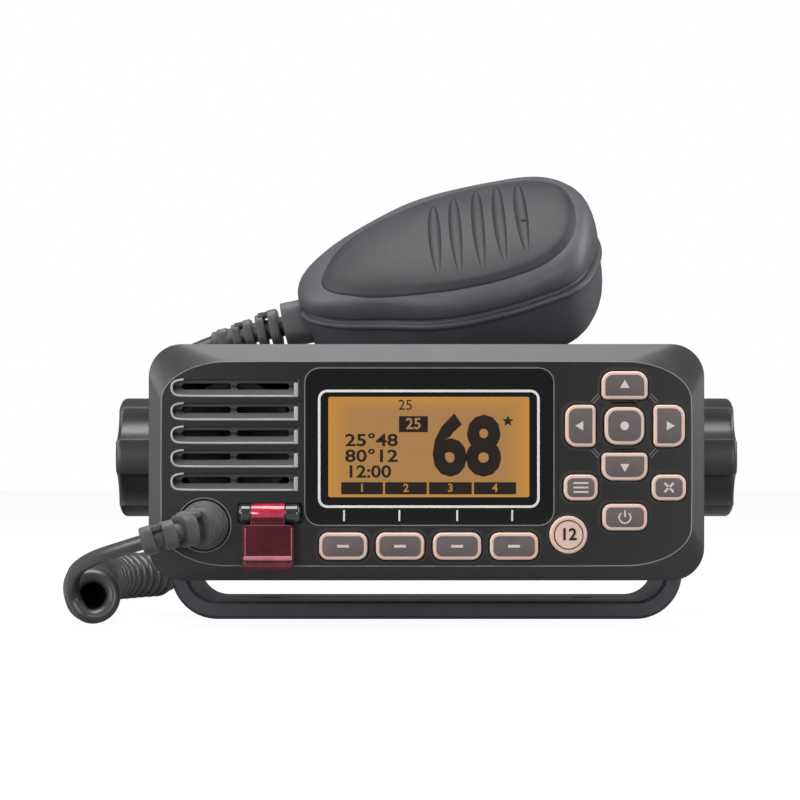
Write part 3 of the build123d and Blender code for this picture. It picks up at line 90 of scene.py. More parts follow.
# the outline of the raised plate of its face, along and across it
PLATE_OUTLINE = ((-36, -6.5), (-34, -1.5), (-29.5, 5.0), (-19.8, 10.5), (-7.8, 13.2), (3.3, 14.9),
                 (13.1, 15.6), (23.5, 14.8), (33.5, 12.2), (39.8, 6.5), (42, -2.8), (41.3, -10.6),
                 (37.9, -18.4), (30.8, -23.9), (20.6, -26.3), (7.7, -26.9), (-4.9, -25.4), (-17.3, -21.4),
                 (-27.6, -16.3), (-34, -11))
PLATE_MIDDLE = Vector((14.0, -10.0, 0))
PLATE_RISE = 1.3


# ---- sizes and colours that a user would change ----
def length(name, description, default):
    """A size, in metres."""
    return bpy.props.FloatProperty(name=name, description=description, default=default, unit="LENGTH")


def hex_colour(name, description, default):
    """A finish's main colour, as an sRGB hex value."""
    return bpy.props.StringProperty(name=name, description=description, default=default)


class CordSizes(bpy.types.PropertyGroup):
    diameter: length("Cord diameter", "Thickness of the cord's jacket", 4.2 * MM)
    coil_radius: length("Coil radius", "From the coil's axis to the middle of its cord", 6.1 * MM)
    coil_pitch: length("Coil pitch", "Distance from turn to turn", 4.35 * MM)
    front_length: length("Front cord length", "Tail and coil, pulled straight", 1.45)
    rise_length: length("Rising cord length", "From the coil up the radio's back corner", 0.125)
    mic_length: length("Microphone tail length", "From the radio's side to the microphone", 0.078)


class KeySizes(bpy.types.PropertyGroup):
    rim: length("Key rim", "Pale rim round each key's printed face", 0.95 * MM)
    face_proud: length("Face proud", "How far a printed face stands off its key", 0.12 * MM)
    mark_proud: length("Mark proud", "How far a printed mark stands off its key's face", 0.06 * MM)
    frame_width: length("Display frame", "Width of the silver line round the display", 0.7 * MM)


class RadioColours(bpy.types.PropertyGroup):
    panel: hex_colour("Panel", "Moulded ABS of the panel", "#1c1c1f")
    chassis: hex_colour("Chassis", "Powder coat of the chassis", "#232326")
    yoke: hex_colour("Yoke", "Glass-filled nylon of the yoke", "#2c2b33")
    knob: hex_colour("Knobs", "Nylon of the clamp knobs", "#1a1a1d")
    mic: hex_colour("Microphone", "Moulded ABS of the case", "#343539")
    cord: hex_colour("Cord", "Polyurethane jacket", "#26262a")
    screen: hex_colour("Display", "Lit display's ground", "#c08b4a")
    key_rim: hex_colour("Key rim", "Pale rim of a key", "#baa6a1")
    key_face: hex_colour("Key face", "Printed face of a key", "#463c3e")
    red: hex_colour("Red", "Moulded red of the distress button", "#8f1428")


def settings(name):
    """One group of the values above."""
    return getattr(bpy.context.scene, name)


def mm(*values):
    """Millimetres, in the frame's metres."""
    return tuple(value * MM for value in values)


# ---- finishes ----
def linear(code):
    """The linear colour of an sRGB hex value."""
    channels = [int(code[at:at + 2], 16) / 255 for at in (1, 3, 5)]
    return tuple(c / 12.92 if c <= 0.04045 else ((c + 0.055) / 1.055) ** 2.4 for c in channels) + (1.0,)


def add_node(material, kind, options=None, values=None, links=None):
    """Adds one node with its options, its socket values and what feeds it."""
    node = material.node_tree.nodes.new(kind)
    for name, value in (options or {}).items():
        setattr(node, name, value)
    for name, value in (values or {}).items():
        node.inputs[name].default_value = value
    for name, source in (links or {}).items():
        material.node_tree.links.new(source, node.inputs[name])
    return node


def emptied(owner):
    """A material or world whose node tree is empty."""
    owner.use_nodes = True
    owner.node_tree.nodes.clear()
    return owner


def grained(name, colour, second, grain, relief, roughness, spread=0.06, patch=9 * MM, edge=0.0,
            **shader_values):
    """A finish with a fine grain, broad patches of a second colour and gloss, and eased edges.

    The grain, its relief, the patches and the edge's radius are real sizes.
    """
    if name in bpy.data.materials:
        return bpy.data.materials[name]
    material = emptied(bpy.data.materials.new(name))
    place = add_node(material, "ShaderNodeTexCoord").outputs["Object"]
    fine = add_node(material, "ShaderNodeTexNoise",
                    values={"Scale": 1 / grain, "Detail": 3.0, "Roughness": 0.6}, links={"Vector": place})
    broad = add_node(material, "ShaderNodeTexNoise",
                     values={"Scale": 1 / patch, "Detail": 4.0, "Roughness": 0.65}, links={"Vector": place})
    share = add_node(material, "ShaderNodeMapRange", values={"From Min": 0.35, "From Max": 0.7},
                     links={"Value": broad.outputs["Fac"]})
    speckle = add_node(material, "ShaderNodeMapRange",
                       values={"From Min": 0.3, "From Max": 0.7, "To Min": 0.0, "To Max": 0.35},
                       links={"Value": fine.outputs["Fac"]})
    both = add_node(material, "ShaderNodeMath", {"operation": "ADD", "use_clamp": True},
                    links={0: share.outputs["Result"], 1: speckle.outputs["Result"]})
    tone = add_node(material, "ShaderNodeMix", {"data_type": "RGBA"}, {6: linear(colour), 7: linear(second)},
                    {0: both.outputs[0]})
    gloss = add_node(material, "ShaderNodeMapRange",
                     values={"To Min": roughness - spread, "To Max": roughness + spread},
                     links={"Value": broad.outputs["Fac"]})
    feeds = {"Height": fine.outputs["Fac"]}
    if edge:
        eased = add_node(material, "ShaderNodeBevel", {"samples": 6}, {"Radius": edge})
        feeds["Normal"] = eased.outputs["Normal"]
    bump = add_node(material, "ShaderNodeBump", values={"Strength": 0.5, "Distance": relief}, links=feeds)
    shader = add_node(material, "ShaderNodeBsdfPrincipled", values=shader_values,
                      links={"Base Color": tone.outputs[2], "Roughness": gloss.outputs["Result"],
                             "Normal": bump.outputs["Normal"]})
    add_node(material, "ShaderNodeOutputMaterial", links={"Surface": shader.outputs["BSDF"]})
    return material


def panel_abs():
    # moulded ABS: a satin rim with a soft broad sheen, round a flat face that is shinier and has painted
    # shade, a blacker colour than the rim's
    name = "moulded_abs_panel"
    if name in bpy.data.materials:
        return bpy.data.materials[name]
    material = grained(name, settings("colours").panel, "#232326", 0.5 * MM, 0.02 * MM, 0.42, edge=0.45 * MM)
    shader = next(node for node in material.node_tree.nodes if node.type == "BSDF_PRINCIPLED")
    place = add_node(material, "ShaderNodeTexCoord").outputs["Object"]
    depth = add_node(material, "ShaderNodeSeparateXYZ", links={"Vector": place}).outputs["Y"]
    # painted shade: the flat face, found by its depth, is coloured near black while the rim keeps the panel's
    # grey
    face = add_node(material, "ShaderNodeMath", {"operation": "LESS_THAN"}, {1: PANEL_FACE + 0.12 * MM},
                    {0: depth})
    tone = add_node(material, "ShaderNodeMix", {"data_type": "RGBA"}, {7: linear("#08080a")},
                    {0: face.outputs[0], 6: shader.inputs["Base Color"].links[0].from_socket})
    gloss = add_node(material, "ShaderNodeMix", values={3: 0.3},
                     links={0: face.outputs[0], 2: shader.inputs["Roughness"].links[0].from_socket})
    material.node_tree.links.new(tone.outputs[2], shader.inputs["Base Color"])
    material.node_tree.links.new(gloss.outputs[0], shader.inputs["Roughness"])
    return material


def mic_abs():
    # the same moulding in a lighter grey, a little duller; the grain is drawn as coarse as it needs to show
    return grained("moulded_abs_microphone", settings("colours").mic, "#3c3d42", 0.5 * MM, 0.03 * MM, 0.5)


def plate_abs():
    # the face plate of the microphone: the same moulding, etched deeper, so darker and with less shine
    return grained("etched_abs_plate", "#1f2023", "#28292c", 0.5 * MM, 0.04 * MM, 0.55,
                   **{"Specular IOR Level": 0.3})


def painted_edge_highlight():
    # painted highlight: fine lines of the same moulding in a lighter grey, standing for the light that its
    # edges catch, and a little shinier
    return grained("polished_abs_edge", "#5c5c60", "#6c6c70", 0.5 * MM, 0.01 * MM, 0.33)


def painted_lip_highlight():
    # painted highlight: the lips of the grille in a paler grey than the other edges, standing for the light
    # that they catch
    return grained("rubbed_abs_edge", "#85858a", "#98989c", 0.5 * MM, 0.01 * MM, 0.35)


def painted_key_shade():
    # the deep shadow round a key, with the warm cast of its lamp
    return grained("key_well", "#0b0808", "#150f0e", 1.0 * MM, 0.01 * MM, 0.6)


def chassis_coat():
    # powder coat on die-cast alloy: orange-peel relief a millimetre across
    return grained("powder_coated_alloy", settings("colours").chassis, "#2a2a2d", 1.0 * MM, 0.05 * MM, 0.48,
                   edge=0.5 * MM)


def yoke_nylon():
    # glass-filled nylon: slightly bluish, faint flow marks
    return grained("glass_filled_nylon", settings("colours").yoke, "#34333c", 0.6 * MM, 0.02 * MM, 0.4,
                   edge=0.5 * MM)


def knob_nylon():
    # plain moulded nylon, satin black
    return grained("satin_nylon", settings("colours").knob, "#1f1f22", 0.5 * MM, 0.015 * MM, 0.36,
                   edge=0.6 * MM)


def black_rubber():
    # moulded synthetic rubber: matt with a weak broad sheen
    return grained("moulded_rubber", "#2d2d30", "#353538", 0.6 * MM, 0.03 * MM, 0.55,
                   **{"Sheen Weight": 0.15})


def cord_jacket():
    # polyurethane jacket: smooth and slightly waxy
    return grained("polyurethane_jacket", settings("colours").cord, "#303034", 0.8 * MM, 0.01 * MM, 0.38,
                   **{"Coat Weight": 0.15, "Coat Roughness": 0.3})


def window_acrylic():
    # gloss acrylic with a black back print: deep black with clear reflections
    return grained("back_printed_acrylic", "#060608", "#09090b", 2.0 * MM, 0.001 * MM, 0.1, 0.02)


def key_rim_silicone():
    # translucent silicone over lamps: pale, with warmer patches of their light
    return grained("lit_silicone", settings("colours").key_rim, "#c4a190", 0.6 * MM, 0.01 * MM, 0.45,
                   patch=6 * MM, **{"Subsurface Weight": 0.15, "Subsurface Scale": 0.6 * MM})


def key_face_print():
    # screen-printed cap: brown-grey, with a grain as of the dots of its screen
    return grained("printed_cap", settings("colours").key_face, "#504547", 0.45 * MM, 0.02 * MM, 0.5)


def pale_print():
    # white epoxy ink, a little greyed, as it lies thin on a dark cap
    return grained("pale_ink", "#b9b1b0", "#aca4a3", 0.5 * MM, 0.01 * MM, 0.5)


def silver_print():
    # silver-white ink round the display
    return grained("silver_ink", "#c9c9c6", "#b9b9b7", 0.5 * MM, 0.01 * MM, 0.35)


def dark_print():
    # dark segments of a display
    return grained("display_segments", "#140c06", "#1a110a", 0.5 * MM, 0.002 * MM, 0.4,
                   **{"Specular IOR Level": 0.2})


def screen_glow():
    # lit liquid-crystal display: evenly amber, and yellower toward its edges, where the lamps are
    name = "lit_display"
    if name in bpy.data.materials:
        return bpy.data.materials[name]
    material = emptied(bpy.data.materials.new(name))
    low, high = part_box("lcd_panel")
    centre = (low + high) / 2
    size = high - low
    place = add_node(material, "ShaderNodeTexCoord").outputs["Object"]
    mapped = add_node(material, "ShaderNodeMapping", {"vector_type": "TEXTURE"},
                      {"Location": centre, "Scale": (size.x / 2, 1.0, size.z / 2)}, {"Vector": place})
    parts = add_node(material, "ShaderNodeSeparateXYZ", links={"Vector": mapped.outputs["Vector"]})
    across, up = (add_node(material, "ShaderNodeMath", {"operation": "ABSOLUTE"},
                           links={0: parts.outputs[axis]}) for axis in "XZ")
    reach = add_node(material, "ShaderNodeMath", {"operation": "MAXIMUM"},
                     links={0: across.outputs[0], 1: up.outputs[0]})
    share = add_node(material, "ShaderNodeMapRange", values={"From Min": 0.7, "From Max": 0.94},
                     links={"Value": reach.outputs[0]})
    tone = add_node(material, "ShaderNodeMix", {"data_type": "RGBA"},
                    {6: linear(settings("colours").screen), 7: linear("#e09a30")},
                    {0: share.outputs["Result"]})
    shader = add_node(material, "ShaderNodeBsdfPrincipled",
                      values={"Base Color": (0.02, 0.015, 0.01, 1), "Roughness": 0.25,
                              "Emission Strength": 0.66},
                      links={"Emission Color": tone.outputs[2]})
    add_node(material, "ShaderNodeOutputMaterial", links={"Surface": shader.outputs["BSDF"]})
    return material


def cover_red():
    # dark red polycarbonate: deep and glossy, with patches that are a little redder
    return grained("tinted_polycarbonate", "#36040f", "#4e0a1a", 3.0 * MM, 0.002 * MM, 0.2, 0.04,
                   edge=0.4 * MM, **{"Specular IOR Level": 0.35})


def bright_red():
    # unprinted red polycarbonate of the hinge's knuckle: clear and bright, with a hard gloss
    return grained("bright_polycarbonate", "#8a0c24", "#b22a43", 2.0 * MM, 0.002 * MM, 0.15, 0.04,
                   **{"Coat Weight": 0.6, "Coat Roughness": 0.08})


def deep_red():
    # the thick lower edge of the cover, where the red is deepest
    return grained("thick_polycarbonate", "#2c0610", "#5c1222", 2.0 * MM, 0.002 * MM, 0.16, 0.04,
                   **{"Coat Weight": 0.4, "Coat Roughness": 0.08})


def painted_ledge_highlight():
    # painted highlight: the cover's ledge and side edges in a pale, milky pink, standing for the light that
    # they catch
    return grained("ground_polycarbonate", "#985664", "#ae6a78", 2.0 * MM, 0.01 * MM, 0.3, 0.04)


def button_red():
    # moulded red ABS, satin
    return grained("red_abs", settings("colours").red, "#a31a30", 0.6 * MM, 0.01 * MM, 0.35)


def ear_clear():
    # clear polycarbonate with a grey-green cast
    return grained("clear_polycarbonate", "#15191a", "#262c2d", 2.0 * MM, 0.002 * MM, 0.12, 0.03,
                   edge=0.4 * MM, **{"Coat Weight": 0.5, "Coat Roughness": 0.05})


def stainless():
    # stainless steel, turned or pressed: bright, with faint broad patches
    return grained("stainless_steel", "#b9babd", "#a9aaae", 0.6 * MM, 0.005 * MM, 0.28, Metallic=1.0)


def nickel():
    # nickel plate on turned brass: warmer and smoother than the steel
    return grained("nickel_plate", "#c7c3b8", "#b8b4a9", 0.6 * MM, 0.003 * MM, 0.2, Metallic=1.0)


def brass():
    # machined brass, dulled
    return grained("machined_brass", "#b08d4a", "#9c7b3e", 0.6 * MM, 0.005 * MM, 0.3, Metallic=1.0)


def circuit_board():
    # glass epoxy under green solder mask
    return grained("solder_mask", "#14502c", "#1b6337", 0.7 * MM, 0.02 * MM, 0.3)


def grey_module():
    # moulded epoxy: dark grey and matt
    return grained("moulded_epoxy", "#26262a", "#2e2e31", 0.6 * MM, 0.02 * MM, 0.55)


def paper_cone():
    # pressed cone with fibres
    return grained("pressed_cone", "#09090a", "#101012", 0.8 * MM, 0.05 * MM, 0.8,
                   **{"Specular IOR Level": 0.2})


def blacked_steel():
    # a pressed basket under black paint
    return grained("black_painted_steel", "#0a0a0b", "#111113", 0.8 * MM, 0.02 * MM, 0.7,
                   **{"Specular IOR Level": 0.2})


def flat_cable():
    # polyester flat cable, milky
    return grained("polyester_cable", "#cfcdc6", "#c3c1ba", 1.0 * MM, 0.01 * MM, 0.35)


def clear_guide():
    # clear acrylic light guide, milky from its dots, as the silicone mat under the keys is too
    return grained("dotted_acrylic", "#e6dcc4", "#f0e8d4", 0.8 * MM, 0.02 * MM, 0.25)


# ---- modelling by hand ----
def start():
    """Nothing selected and nothing in edit mode, so an operator acts on the new piece alone."""
    if bpy.context.object and bpy.context.object.mode != "OBJECT":
        bpy.ops.object.mode_set(mode="OBJECT")
    bpy.ops.object.select_all(action="DESELECT")


def choose(piece):
    """One piece alone, selected and active."""
    start()
    piece.select_set(True)
    bpy.context.view_layer.objects.active = piece


def edit_whole(piece):
    """All edges of one piece selected, in edit mode."""
    choose(piece)
    bpy.context.tool_settings.mesh_select_mode = (False, True, False)
    bpy.ops.object.mode_set(mode="EDIT")
    bpy.ops.mesh.select_all(action="SELECT")


def settle():
    """The new piece's place goes into its mesh."""
    bpy.ops.object.transform_apply(location=True, rotation=True, scale=True)
    return bpy.context.object


def pick(piece, kind, test):
    """Selects the edges or faces that pass a test, in edit mode."""
    if piece.mode != "OBJECT":
        bpy.ops.object.mode_set(mode="OBJECT")
    mesh = piece.data
    bpy.context.tool_settings.mesh_select_mode = (False, kind == "edges", kind == "polygons")
    for group in (mesh.vertices, mesh.edges, mesh.polygons):
        group.foreach_set("select", [False] * len(group))
    for item in getattr(mesh, kind):
        if test(item):
            item.select = True
            for at in item.vertices:
                mesh.vertices[at].select = True
    if kind == "polygons":
        loops = {key for face in mesh.polygons if face.select for key in face.edge_keys}
        for edge in mesh.edges:
            edge.select = edge.key in loops
    bpy.ops.object.mode_set(mode="EDIT")


def complete(piece, name, finish, body, nodes=(), smooth=35):
    """Gives a modelled piece its name, finish, smooth shading and body, and hides the nodes that it stands
    for.
    """
    choose(piece)
    piece.name = name
    piece.data.name = name
    piece.data.materials.clear()
    piece.data.materials.append(finish)
    if smooth:
        bpy.ops.object.shade_smooth_by_angle(angle=math.radians(smooth))
    if body:
        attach(piece, body)
    if nodes:
        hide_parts(*nodes)
    return piece


def apply_modifier(piece, kind, **values):
    """Adds one modifier with its values and applies it."""
    choose(piece)
    bpy.ops.object.modifier_add(type=kind)
    modifier = piece.modifiers[-1]
    for name, value in values.items():
        setattr(modifier, name, value)
    bpy.ops.object.modifier_apply(modifier=modifier.name)


def bevel_rim(piece, test, width, segments):
    """Bevels the outline of the faces that pass a test."""
    pick(piece, "polygons", test)
    bpy.ops.mesh.region_to_loop()
    bpy.ops.mesh.bevel(offset=width, segments=segments, affect="EDGES")
    bpy.ops.object.mode_set(mode="OBJECT")


def upright_at(piece, x, z):
    """The test for the edge along Y at one corner of a block."""
    near = 1e-7

    def test(edge):
        ends = [piece.data.vertices[at].co for at in edge.vertices]
        return (all(math.hypot(end.x - x, end.z - z) < near for end in ends)
                and abs(ends[0].y - ends[1].y) > near)

    return test


def rounded_block(low, high, radii, rim=0.0):
    """A block with its four edges along Y rounded, from the lower left clockwise, then its front rim."""
    start()
    low, high = Vector(low), Vector(high)
    bpy.ops.mesh.primitive_cube_add(size=1, location=(low + high) / 2, scale=high - low)
    piece = settle()
    corners = ((low.x, low.z), (low.x, high.z), (high.x, high.z), (high.x, low.z))
    for (x, z), radius in zip(corners, radii):
        pick(piece, "edges", upright_at(piece, x, z))
        bpy.ops.mesh.bevel(offset=radius, segments=6, affect="EDGES")
    bpy.ops.object.mode_set(mode="OBJECT")
    if rim:
        bevel_rim(piece, lambda face: face.normal.y < -0.9, rim, 3)
    return piece


def plate(x_range, z_range, radii, front, thickness, rim=0.0):
    """A rounded block that lies on a face and looks along -Y."""
    return rounded_block((x_range[0], front, z_range[0]), (x_range[1], front + thickness, z_range[1]), radii,
                         rim)


def widened(low, high, reach):
    """A range that is longer at each end by a reach."""
    return low - reach, high + reach


def cut_through(piece, width):
    """Leaves only a rim of the given width of a flat piece that looks along Y."""
    pick(piece, "polygons", lambda face: abs(face.normal.y) > 0.9)
    bpy.ops.mesh.inset(thickness=width)
    bpy.ops.mesh.bridge_edge_loops()
    bpy.ops.object.mode_set(mode="OBJECT")
    return piece


def without_slivers(piece):
    """The piece without the tiny faces that a cut leaves along its edge."""
    edit_whole(piece)
    bpy.ops.mesh.remove_doubles(threshold=0.06 * MM)
    bpy.ops.mesh.dissolve_degenerate(threshold=0.01 * MM)
    bpy.ops.object.mode_set(mode="OBJECT")
    return piece


def ring(x_range, z_range, radii, width, front, thickness):
    """A flat ring with rounded corners that lies on a face and looks along -Y."""
    return cut_through(plate(x_range, z_range, radii, front, thickness), width)


def bar(x, z, size, front, thickness, turn=0.0):
    """A thin straight line that lies on a face and looks along -Y."""
    start()
    bpy.ops.mesh.primitive_cube_add(size=1, location=(x, front + thickness / 2, z), rotation=(0, turn, 0),
                                    scale=(size[0], thickness, size[1]))
    piece = settle()
    apply_modifier(piece, "BEVEL", width=0.03 * MM, segments=1)
    return piece


def joined(parts):
    """Several parts as one piece."""
    start()
    for part in parts:
        part.select_set(True)
    bpy.context.view_layer.objects.active = parts[0]
    if len(parts) > 1:
        bpy.ops.object.join()
    return bpy.context.object


def disc(x, z, radius, front, thickness, corners=48, turn=0.0):
    """A disc or a regular polygon that lies on a face and looks along -Y."""
    start()
    bpy.ops.mesh.primitive_cylinder_add(vertices=corners, radius=radius, depth=thickness,
                                        location=(x, front + thickness / 2, z),
                                        rotation=(math.pi / 2, turn, 0))
    return settle()


def printed(text, x, z, height, front, thickness, weight=0.0, width=1.0):
    """Plain figures as raised print that looks along -Y."""
    # a figure of the built-in face is this share of its size high
    figure_share = 0.73
    start()
    bpy.ops.object.text_add(location=(x, front, z), rotation=(math.pi / 2, 0, 0))
    piece = bpy.context.object
    data = piece.data
    data.body = text
    data.align_x = "CENTER"
    data.align_y = "CENTER"
    data.size = height / figure_share
    data.offset = weight
    data.extrude = thickness / 2
    data.resolution_u = 3
    piece.scale = (width, 1, 1)
    bpy.ops.object.convert(target="MESH")
    return settle()


def add_route(curve, route, closed=False):
    """A smooth line that a route's points lead, in a curve."""
    curve.dimensions = "3D"
    spline = curve.splines.new("NURBS")
    spline.points.add(len(route) - 1)
    for point, place in zip(spline.points, route):
        point.co = (*place, 1.0)
    spline.order_u = 3
    spline.use_endpoint_u = not closed
    spline.use_cyclic_u = closed


def line_of(curve):
    """The points of a curve's line. The curve is used up."""
    holder = bpy.data.objects.new("route", curve)
    mesh = bpy.data.meshes.new_from_object(holder)
    line = [vertex.co.copy() for vertex in mesh.vertices]
    bpy.data.objects.remove(holder)
    bpy.data.meshes.remove(mesh)
    bpy.data.curves.remove(curve)
    return line


def cord_line(route):
    """The points of a route's smooth line."""
    curve = bpy.data.curves.new("route", "CURVE")
    curve.resolution_u = 12
    add_route(curve, route)
    return line_of(curve)


def cord_tube(route, diameter, closed=False, sides=5, resolution=6):
    """A round tube along a route's smooth line, as a mesh."""
    start()
    bpy.ops.curve.primitive_nurbs_path_add()
    curve = bpy.context.object.data
    curve.splines.clear()
    curve.resolution_u = resolution
    curve.bevel_depth = diameter / 2
    curve.bevel_resolution = sides
    curve.use_fill_caps = not closed
    add_route(curve, route, closed)
    bpy.ops.object.convert(target="MESH")
    return bpy.context.object


def fine_line(route, diameter, closed=True):
    """A line too fine to need more than a few faces."""
    return cord_tube(route, diameter, closed, sides=2, resolution=3)


def arc(centre, radius, front, angles):
    """Points round a centre on a face that looks along -Y."""
    return [Vector((centre.x + radius * math.cos(angle), front, centre.z + radius * math.sin(angle)))
            for angle in angles]


def full_turn(count):
    """The angles of points that are spread evenly round a circle."""
    return [2 * math.pi * step / count for step in range(count)]


def metres(points):
    """Points in millimetres, in the frame's metres."""
    return [Vector(point) * MM for point in points]


def distances(line):
    """How far along a line each of its points is."""
    along = [0.0]
    for here, after in zip(line, line[1:]):
        along.append(along[-1] + (after - here).length)
    return along


def point_at(line, along, distance):
    """The point and the direction of a line a given distance along it."""
    for number in range(len(line) - 1):
        if along[number + 1] >= distance or number == len(line) - 2:
            step = line[number + 1] - line[number]
            share = (distance - along[number]) / step.length
            return line[number] + step * share, step.normalized()


POINTS_PER_TURN = 12


def helix_points(route, radius, pitch, first_angle, last_turns=4):
    """Points of a coil round a route's smooth line, which it runs onto over its last turns."""
    line = cord_line(route)
    along = distances(line)
    total = along[-1]
    count = int(total / pitch * POINTS_PER_TURN)
    points = []
    for number in range(1, count + 1):
        distance = total * number / count
        centre, direction = point_at(line, along, distance)
        side = direction.cross(Vector((0, 0, 1))).normalized()
        angle = first_angle + 2 * math.pi * number / POINTS_PER_TURN
        reach = radius * min(1.0, (total - distance) / (pitch * last_turns))
        points.append(centre + side * (reach * math.cos(angle)) + Vector((0, 0, reach * math.sin(angle))))
    points[-1] = line[-1]
    return points


# ---- pieces ----
class RADIO_OT_stage(bpy.types.Operator):
    """Adds the floor, the lamps, the world and the camera."""
    bl_idname = "radio.stage"
    bl_label = "Stage"

    # each lamp's name, place, size, power and the height over the origin that it aims at
    lamps = (
        ("overhead_softbox", (-0.1, -0.2, 0.9), (0.9, 0.6), 14.0, 0.06),
        ("left_softbox", (-0.95, -0.35, 0.35), (0.5, 0.7), 7.5, 0.05),
        ("right_strip", (0.9, 0.0, 0.5), (0.25, 0.8), 8.0, 0.05),
        ("left_fill", (-0.55, -1.0, 0.14), (0.35, 0.35), 3.8, 0.06),
        ("right_fill", (0.55, -1.0, 0.14), (0.35, 0.35), 3.8, 0.06),
    )
    floor_size = 8
    floor_place = (0, 1.5, 0)
    # how much of the floor's white the camera and reflections see, how strong it is, and the world's light
    floor_seen = 0.72
    floor_reflected = 0.12
    floor_white = 1.32
    world_light = 0.26
    camera_place = (0, -0.6655, 0.0434)
    camera_lens = 96.4
    camera_shift = (-0.0331, 0.0938)

    def execute(self, context):
        scene = context.scene
        scene.view_settings.view_transform = "Standard"
        start()
        bpy.ops.mesh.primitive_plane_add(size=self.floor_size, location=self.floor_place)
        floor = bpy.context.object
        floor.name = "floor"
        floor.data.materials.append(self.backdrop_material())
        self.make_world(scene)
        for row in self.lamps:
            self.lamp(*row)
        camera = bpy.data.objects.new("camera", bpy.data.cameras.new("camera"))
        scene.collection.objects.link(camera)
        camera.location = self.camera_place
        camera.rotation_euler = (math.pi / 2, 0, 0)
        camera.data.lens = self.camera_lens
        camera.data.sensor_width = 36
        camera.data.shift_x, camera.data.shift_y = self.camera_shift
        camera.data.clip_start = 0.01
        scene.camera = camera
        return {"FINISHED"}

    def backdrop_material(self):
        """A pale floor that the camera sees white outside the object's shadow."""
        material = emptied(bpy.data.materials.new("pale_floor"))
        rays = add_node(material, "ShaderNodeLightPath")
        glossy = add_node(material, "ShaderNodeMath", {"operation": "MULTIPLY"}, {1: self.floor_reflected},
                          {0: rays.outputs["Is Glossy Ray"]})
        seen = add_node(material, "ShaderNodeMath", {"operation": "MULTIPLY_ADD"}, {1: self.floor_seen},
                        {0: rays.outputs["Is Camera Ray"], 2: glossy.outputs[0]})
        matt = add_node(material, "ShaderNodeBsdfDiffuse", values={"Color": (0.25, 0.25, 0.25, 1)})
        white = add_node(material, "ShaderNodeEmission", values={"Strength": self.floor_white})
        both = add_node(material, "ShaderNodeMixShader",
                        links={0: seen.outputs[0], 1: matt.outputs[0], 2: white.outputs[0]})
        add_node(material, "ShaderNodeOutputMaterial", links={"Surface": both.outputs[0]})
        return material

    def make_world(self, scene):
        """A dim world that the camera sees white."""
        world = emptied(bpy.data.worlds.new("studio"))
        scene.world = world
        rays = add_node(world, "ShaderNodeLightPath")
        seen = add_node(world, "ShaderNodeMath", {"operation": "MAXIMUM"},
                        links={0: rays.outputs["Is Camera Ray"], 1: rays.outputs["Is Transmission Ray"]})
        dim, white = (add_node(world, "ShaderNodeBackground",
                               values={"Color": (1, 1, 1, 1), "Strength": strength})
                      for strength in (self.world_light, 1.0))
        both = add_node(world, "ShaderNodeMixShader",
                        links={0: seen.outputs[0], 1: dim.outputs[0], 2: white.outputs[0]})
        add_node(world, "ShaderNodeOutputWorld", links={"Surface": both.outputs[0]})

    def lamp(self, name, place, size, power, aim_height):
        data = bpy.data.lights.new(name, "AREA")
        data.shape = "RECTANGLE"
        data.size, data.size_y = size
        data.energy = power
        holder = bpy.data.objects.new(name, data)
        bpy.context.scene.collection.objects.link(holder)
        holder.location = place
        aim = Vector((0, 0, aim_height)) - Vector(place)
        holder.rotation_euler = aim.to_track_quat("-Z", "Y").to_euler()


class RADIO_OT_cords(bpy.types.Operator):
    """Winds the curly cord and lays its two straight tails."""
    bl_idname = "radio.cords"
    bl_label = "Curly cord"

    # for each cord: the heights between which it would go from moving with one body to moving with the other,
    # which laying it does not use
    front_heights = mm(15, 25)
    rise_heights = mm(17, 28)
    mic_heights = mm(50, 80)

    def execute(self, context):
        sizes = settings("cord_sizes")
        # the tail ends half a turn round the coil's axis, and the coil goes on one step after it
        first_angle = math.pi + 2 * math.pi / POINTS_PER_TURN
        coil = helix_points(metres(COIL_ROUTE), sizes.coil_radius, sizes.coil_pitch, first_angle)
        self.lay("curly_cord", metres(FRONT_TAIL_ROUTE) + coil, sizes.front_length,
                 ("cord_front_tail", "cord_coil"), "bracket", "radio", self.front_heights, "coiled")
        self.lay("cord_behind", metres(RISE_ROUTE), sizes.rise_length, ("cord_rise",), "bracket", "radio",
                 self.rise_heights, "loose")
        self.lay("cord_to_microphone", metres(MIC_TAIL_ROUTE), sizes.mic_length, ("cord_mic_tail",), "radio",
                 "mic", self.mic_heights, "loose")
        return {"FINISHED"}

    def lay(self, name, route, length, nodes, low_body, high_body, heights, how):
        diameter = settings("cord_sizes").diameter
        piece = cord_tube(route, diameter, resolution=4 if how == "coiled" else 12)
        complete(piece, name, cord_jacket(), None, nodes, smooth=60)
        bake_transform(piece)
        cord_line(route)


